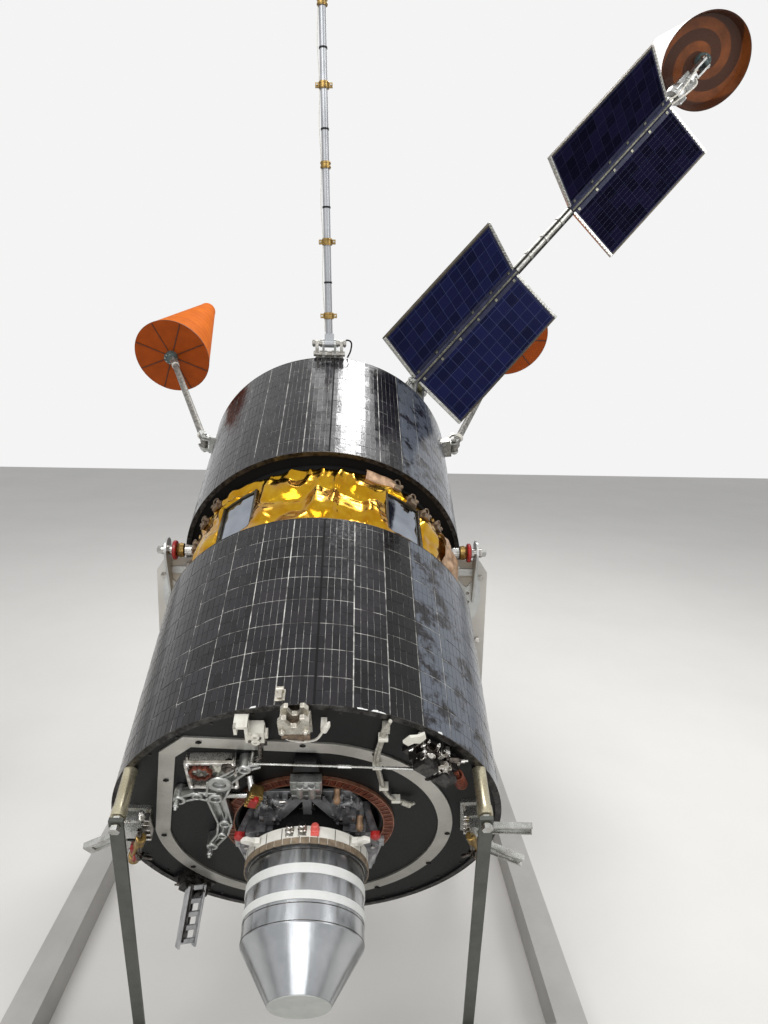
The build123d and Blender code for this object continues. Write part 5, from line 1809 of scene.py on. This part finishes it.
@dataclass
class Cone:
    """A cone antenna on its hub: finish by place, ribs on its base, and the hub's bolts."""

    name: str
    frame: Matrix
    body: Body
    finish: Finish
    base_finish: Finish
    hub_finish: Finish
    radius: float = 155.0
    hub_radius: float = 26.0
    recess: float = 0.0
    ribs: int = 8
    height: float = 517.0
    tip_radius: float = 31.0

    def dress(self, nodes: dict) -> None:
        """Dress the cone and its hub; the frame's Z axis runs from the base to the tip.

        Args:
            nodes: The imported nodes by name.
        """
        wear(nodes[f"{self.name}_cone"], self.finish)
        wear(nodes[f"{self.name}_hub"], self.hub_finish)
        slope = (self.radius - self.tip_radius) / self.height
        base = Shape(self.frame)
        floor = self.recess - 0.2
        inside = self.radius - 3 - slope * self.recess if self.recess else self.radius - 1
        base.ring(9, inside, floor - 0.8, floor + 0.1, 96)
        base.piece(f"{self.name}_base", self.base_finish, "cone_orange", body=self.body)
        reach = inside - self.hub_radius - 4
        spots = [(self.frame @ turn(360 * i / self.ribs + 12, "Z")
                  @ shift(self.hub_radius + 2 + reach / 2, 0, floor - 1.6),
                  (1, 1, 1)) for i in range(self.ribs)]
        if spots:
            repeat(f"{self.name}_ribs", spots, Template.BOX, (reach, 3.4, 3), RIB_DARK,
                   body=self.body)
        bolts = [self.frame @ turn(45 * i, "Z") @ outward(self.hub_radius - 6, 0, floor - 22.8)
                 for i in range(8)]
        hex_heads(f"{self.name}_hub_bolts", bolts, 6, 4, MACHINED_STEEL, self.body)
        trim = Shape(self.frame)
        trim.lathe(((self.radius - 2.5, 0), (self.radius + 0.7, 0), (self.radius - slope * 5 + 0.7, 5),
                    (self.radius - slope * 5 - 1, 5)), 128, ring=True)
        trim.piece(f"{self.name}_rim", RIB_DARK, "cone_amber", body=self.body)
        cap = Shape(self.frame)
        top = self.height + 2
        cap.lathe(((14, top - 6), (13, top - 1), (9, top + 1.5), (4, top + 2)), 32)
        cap.piece(f"{self.name}_cap", self.base_finish, "cone_orange", body=self.body)


@dataclass
class SideAntenna:
    """A side antenna: the arm on its hinge, with the clamped hub and the cone."""

    base: Matrix
    name: str
    body: Body
    clock: float
    lean: float
    tilt: float
    length: float
    toe_in: float = 7.4

    def dress(self, nodes: dict) -> None:
        """Dress the arm and its cone, and add the arm's rings and hub clamp.

        Args:
            nodes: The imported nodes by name.
        """
        arm = arm_frame(self.base, self.clock, PIN_R, SIDE_PIN_RISE, self.lean)
        along = arm @ turn(self.tilt, "X")
        foot = Matrix.Translation((along @ shift(0, 0, self.length)).translation)
        cone = foot @ arm.to_3x3().to_4x4() @ turn(-self.lean - self.toe_in, "Y")
        wear(nodes[f"{self.name}_arm"], ARM_LACQUER)
        finish = ConeFinish(f"{self.name}_cone_lacquer", "#c9660f", "#b8590b", 0.0, 0.62, 0.08, 70, 3.0,
                            bump=0.06, specular=0.05, frame=cone)
        Cone(self.name, cone, self.body, finish, RUST_BASE, TEAL_GREY).dress(nodes)
        rings = Shape(along)
        for low, high in ((40, 52), (self.length - 86, self.length - 78)):
            rings.ring(12, 14.5, low, high)
        rings.lathe(((12, 44), (17, 46), (17, 49), (12, 51)), 32, ring=True)
        rings.piece(f"{self.name}_arm_rings", WHITE, "collar_white", body=self.body)
        clamp = Shape(along)
        for turned in (25, 145, 265):
            clamp.box((10, -3.5, self.length - 76), (17, 3.5, self.length - 40), turn(turned, "Z"))
        clamp.piece(f"{self.name}_arm_clamp", CAST_ALUMINIUM, "bare_metal", 0.6, body=self.body)


@dataclass
class Stand:
    """The display stand: floor beams, uprights, trunnion brackets and front legs."""

    origin: tuple[float, float] = (321.142, 937.579)
    middle: float = -37.0
    half_spacing: float = 670.0
    beam: tuple[float, float] = (76.0, 88.0)
    front: float = -200.0
    back: float = 1420.0
    cross: tuple[float, ...] = (66.0, 1060.0, 1370.0)
    trunnion_y: float = 631.5
    trunnion_z: float = 1130.3

    def dress(self, nodes: dict) -> None:
        """Dress the stand's nodes, then add caps, welds and fasteners.

        Args:
            nodes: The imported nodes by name.
        """
        for names, finish in ((("rail_left", "rail_right", "beam_front", "beam_middle", "beam_back"),
                               STAND_GREY), (("upright_left", "upright_right"), UPRIGHT_GREY),
                               (("trunnion_bracket_left", "trunnion_bracket_right"), BRACKET_PALE),
                               (("leg_left", "leg_right"), LEG_PAINT), (("trunnion_rings",), RED),
                               (("trunnion_bolts",), CHROME)):
            for name in names:
                wear(nodes[name], finish)
        place = shift(-self.origin[0], -self.origin[1], 0)
        wide, tall = self.beam
        caps, welds = Shape(place), Shape(place)
        rails = [self.middle + side * self.half_spacing for side in (-1, 1)]
        for x in rails:
            for y, way in ((self.front, -1), (self.back, 1)):
                caps.box((x - wide / 2 + 1.5, min(y, y + way * 3), 1.5),
                         (x + wide / 2 - 1.5, max(y, y + way * 3), tall - 1.5))
            for y in self.cross:
                side = 1 if x < self.middle else -1
                edge = x + side * wide / 2
                for at in (y - wide / 2, y + wide / 2):
                    self.bead(welds, (edge, at, 2), (edge, at, tall))
                self.bead(welds, (edge, y - wide / 2, tall), (edge, y + wide / 2, tall))
        caps.piece("rail_caps", STAND_GREY, "stand_grey", 2.0)
        for side in (-1, 1):
            x = side * 420
            for dx in (-25, 25):
                self.bead(welds, (x + dx, self.cross[1] - 34, tall), (x + dx, self.cross[1] + 34, tall))
        welds.piece("weld_beads", STAND_GREY, "stand_grey")
        bolts = [place @ shift(side * x, 661.3, z) @ turn(90, "X") for side in (-1, 1)
                 for x, z in ((385, 1080), (455, 1050), (385, 740), (455, 740), (385, 900), (455, 860))]
        hex_heads("upright_bolts", bolts, 17, 8, CHROME)
        self.trunnion(place)
        self.leg_tops()

    def bead(self, shape: Shape, start: Point, end: Point) -> None:
        """Lay a weld bead whose radius wavers along its run.

        Args:
            shape: The mesh that takes it.
            start: Where the run starts.
            end: Where the run ends.
        """
        run = Vector(end) - Vector(start)
        count = max(int(run.length / 7), 4)
        chance = random.Random(int(run.length * 7 + start[0]))
        shape.pipe([Vector(start) + run * i / count
                    + Vector([chance.uniform(-0.5, 0.5) for _ in range(3)]) for i in range(count + 1)],
                    3.2, 8)

    def trunnion(self, place: Matrix) -> None:
        """Add the cups and washers that the trunnion bolts pass through.

        Args:
            place: The frame of the stand's origin.
        """
        cups, steel, flanges = (Shape(place) for _ in range(3))
        for side in (-1, 1):
            at = shift(0, self.trunnion_y, self.trunnion_z) @ turn(90 * side, "Y")
            cups.lathe(((13, 386), (19, 388), (21, 398), (17, 407), (12, 407)), 32, at)
            steel.lathe(((16, 437.2), (16, 440)), 32, at)
            steel.lathe(((11, 450), (11, 461), (7, 463)), 6, at)
            steel.lathe(((15, 420), (15, 423)), 32, at)
            flanges.lathe(((12, 408), (25, 408), (27, 410), (27, 416), (25, 418), (12, 418)), 40, at)
        cups.piece("trunnion_cups", BRASS, "brass")
        flanges.piece("trunnion_flanges", RED, "ring_red")
        steel.piece("trunnion_washers", MACHINED_STEEL, "bolt_steel")

    def leg_tops(self) -> None:
        """Add the nuts on the studs at the tops of the legs and the feet's plates."""
        base = satellite_frame()
        places, plates = [], Shape(Matrix())
        for x in (-STANDOFF_X, STANDOFF_X):
            places += [base @ outward(x, STANDOFF_Y, z) for z in (-96.5, -114)]
        hex_heads("leg_nuts", places, 21, 9, MACHINED_STEEL)
        for name, inward in (("leg_left", 1), ("leg_right", -1)):
            low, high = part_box(name)
            foot = Vector((low.x if inward > 0 else high.x, high.y, low.z)) / MM
            plates.box((foot.x - inward * 14, foot.y - 34, foot.z),
                       (foot.x + inward * 40, foot.y + 6, foot.z + 5))
        plates.piece("leg_feet", LEG_PAINT, "leg_green", 1.0)


@dataclass
class Studio:
    """The pale floor, the soft lamps, the white ground behind and the photograph's camera."""

    camera_at: tuple[float, float, float] = (-0.238956, -2.305809, 1.65)
    camera_turn: tuple[tuple[float, float, float], ...] = ((0.999002, -0.013189, -0.042685),
                                                           (-0.039226, 0.198373, -0.979341),
                                                           (0.021385, 0.980038, 0.197657))
    lens: float = 25.594
    lamps: tuple[tuple[Point, Point, float, float], ...] = (
        ((-1.8, -2.6, 4.2), (0, 0, 1.2), 2.6, 95.0), ((2.8, -2.0, 3.6), (0, 0.2, 1.4), 2.2, 60.0),
        ((0.4, 2.6, 4.4), (0, 0.3, 1.6), 3.0, 58.0), ((-0.4, -3.4, 1.2), (0, 0, 1.0), 1.6, 16.0),
        ((0.33, 1.55, 4.0), (-0.2, 0.1, 1.3), 0.75, 42.0))

    def build(self) -> None:
        """Set the view transform, the world, the floor, the lamps and the camera."""
        scene = bpy.context.scene
        scene.view_settings.view_transform = "Standard"
        self.world(scene)
        self.floor()
        for index, (at, aim, size, power) in enumerate(self.lamps):
            data = bpy.data.lights.new(f"soft_lamp_{index}", "AREA")
            data.shape, data.size, data.energy = "DISK", size, power
            lamp = bpy.data.objects.new(data.name, data)
            lamp.location = at
            lamp.rotation_euler = (Vector(aim) - Vector(at)).to_track_quat("-Z", "Y").to_euler()
            scene.collection.objects.link(lamp)
        data = bpy.data.cameras.new("camera")
        data.lens, data.sensor_width, data.clip_end = self.lens, 36.0, 60.0
        camera = bpy.data.objects.new("camera", data)
        camera.matrix_world = Matrix.Translation(self.camera_at) @ Matrix(self.camera_turn).to_4x4()
        scene.collection.objects.link(camera)
        scene.camera = camera

    def world(self, scene: bpy.types.Scene) -> None:
        """Make the world: white to the camera and in reflections, softer as a light.

        Args:
            scene: The scene that gets the world.
        """
        world = bpy.data.worlds.new("studio")
        scene.world = world
        world.use_nodes = True
        tree = world.node_tree
        tree.nodes.clear()
        path = add_node(tree, "ShaderNodeLightPath")
        plain = add_node(tree, "ShaderNodeBackground", {"Color": linear("#e9eaec"), "Strength": 0.55})
        white = add_node(tree, "ShaderNodeBackground", {"Color": linear("#f4f4f4"), "Strength": 1.0})
        share = path.outputs["Is Camera Ray"]
        for ray in ("Is Glossy Ray", "Is Transmission Ray"):
            share = maths(tree, "MAXIMUM", share, path.outputs[ray])
        mix = add_node(tree, "ShaderNodeMixShader",
                       {0: share, 1: plain.outputs[0], 2: white.outputs[0]})
        add_node(tree, "ShaderNodeOutputWorld", {"Surface": mix.outputs[0]})

    def floor(self) -> None:
        """Lay the pale floor."""
        mesh = bmesh.new()
        bmesh.ops.create_grid(mesh, x_segments=1, y_segments=1, size=9)
        data = bpy.data.meshes.new("floor")
        mesh.to_mesh(data)
        mesh.free()
        floor = bpy.data.objects.new("floor", data)
        floor.location.z = -0.0005
        bpy.context.scene.collection.objects.link(floor)
        data.materials.append(FLOOR.material())


def main() -> None:
    """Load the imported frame, build each sub-assembly on it and set the studio."""
    logging.basicConfig(level=logging.INFO, format="%(name)s: %(message)s")
    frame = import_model()
    base = satellite_frame()
    wing = Wing(base)
    end = wing.spar @ shift(0, 0, wing.pivot) @ turn(-WING_LEAN, "Y") @ shift(0, 0, -4.7)
    spiral = SpiralFinish("amber_resin", "#82461c", "#5c3012", 0.0, 0.34, 0.08, 60, 3.0, bump=0.08,
                          frame=end)
    assemblies = (
        Drums(base), Belt(base), BottomFace(base), Canister(base), HingeRoots(base), Mast(base), wing,
        Cone("end", end, Body.END, spiral, spiral, TEAL_GREY, recess=45.0, ribs=0),
        SideAntenna(base, "right", Body.RIGHT, RIGHT_CLOCK, 27.1, 9.9, 646.0),
        SideAntenna(base, "left", Body.LEFT, LEFT_CLOCK, 20.9, 1.2, 656.0), Stand())
    for assembly in assemblies:
        assembly.dress(frame["nodes"])
        LOG.info("built %s", type(assembly).__name__)
    Studio().build()


if __name__ == "__main__":
    main()
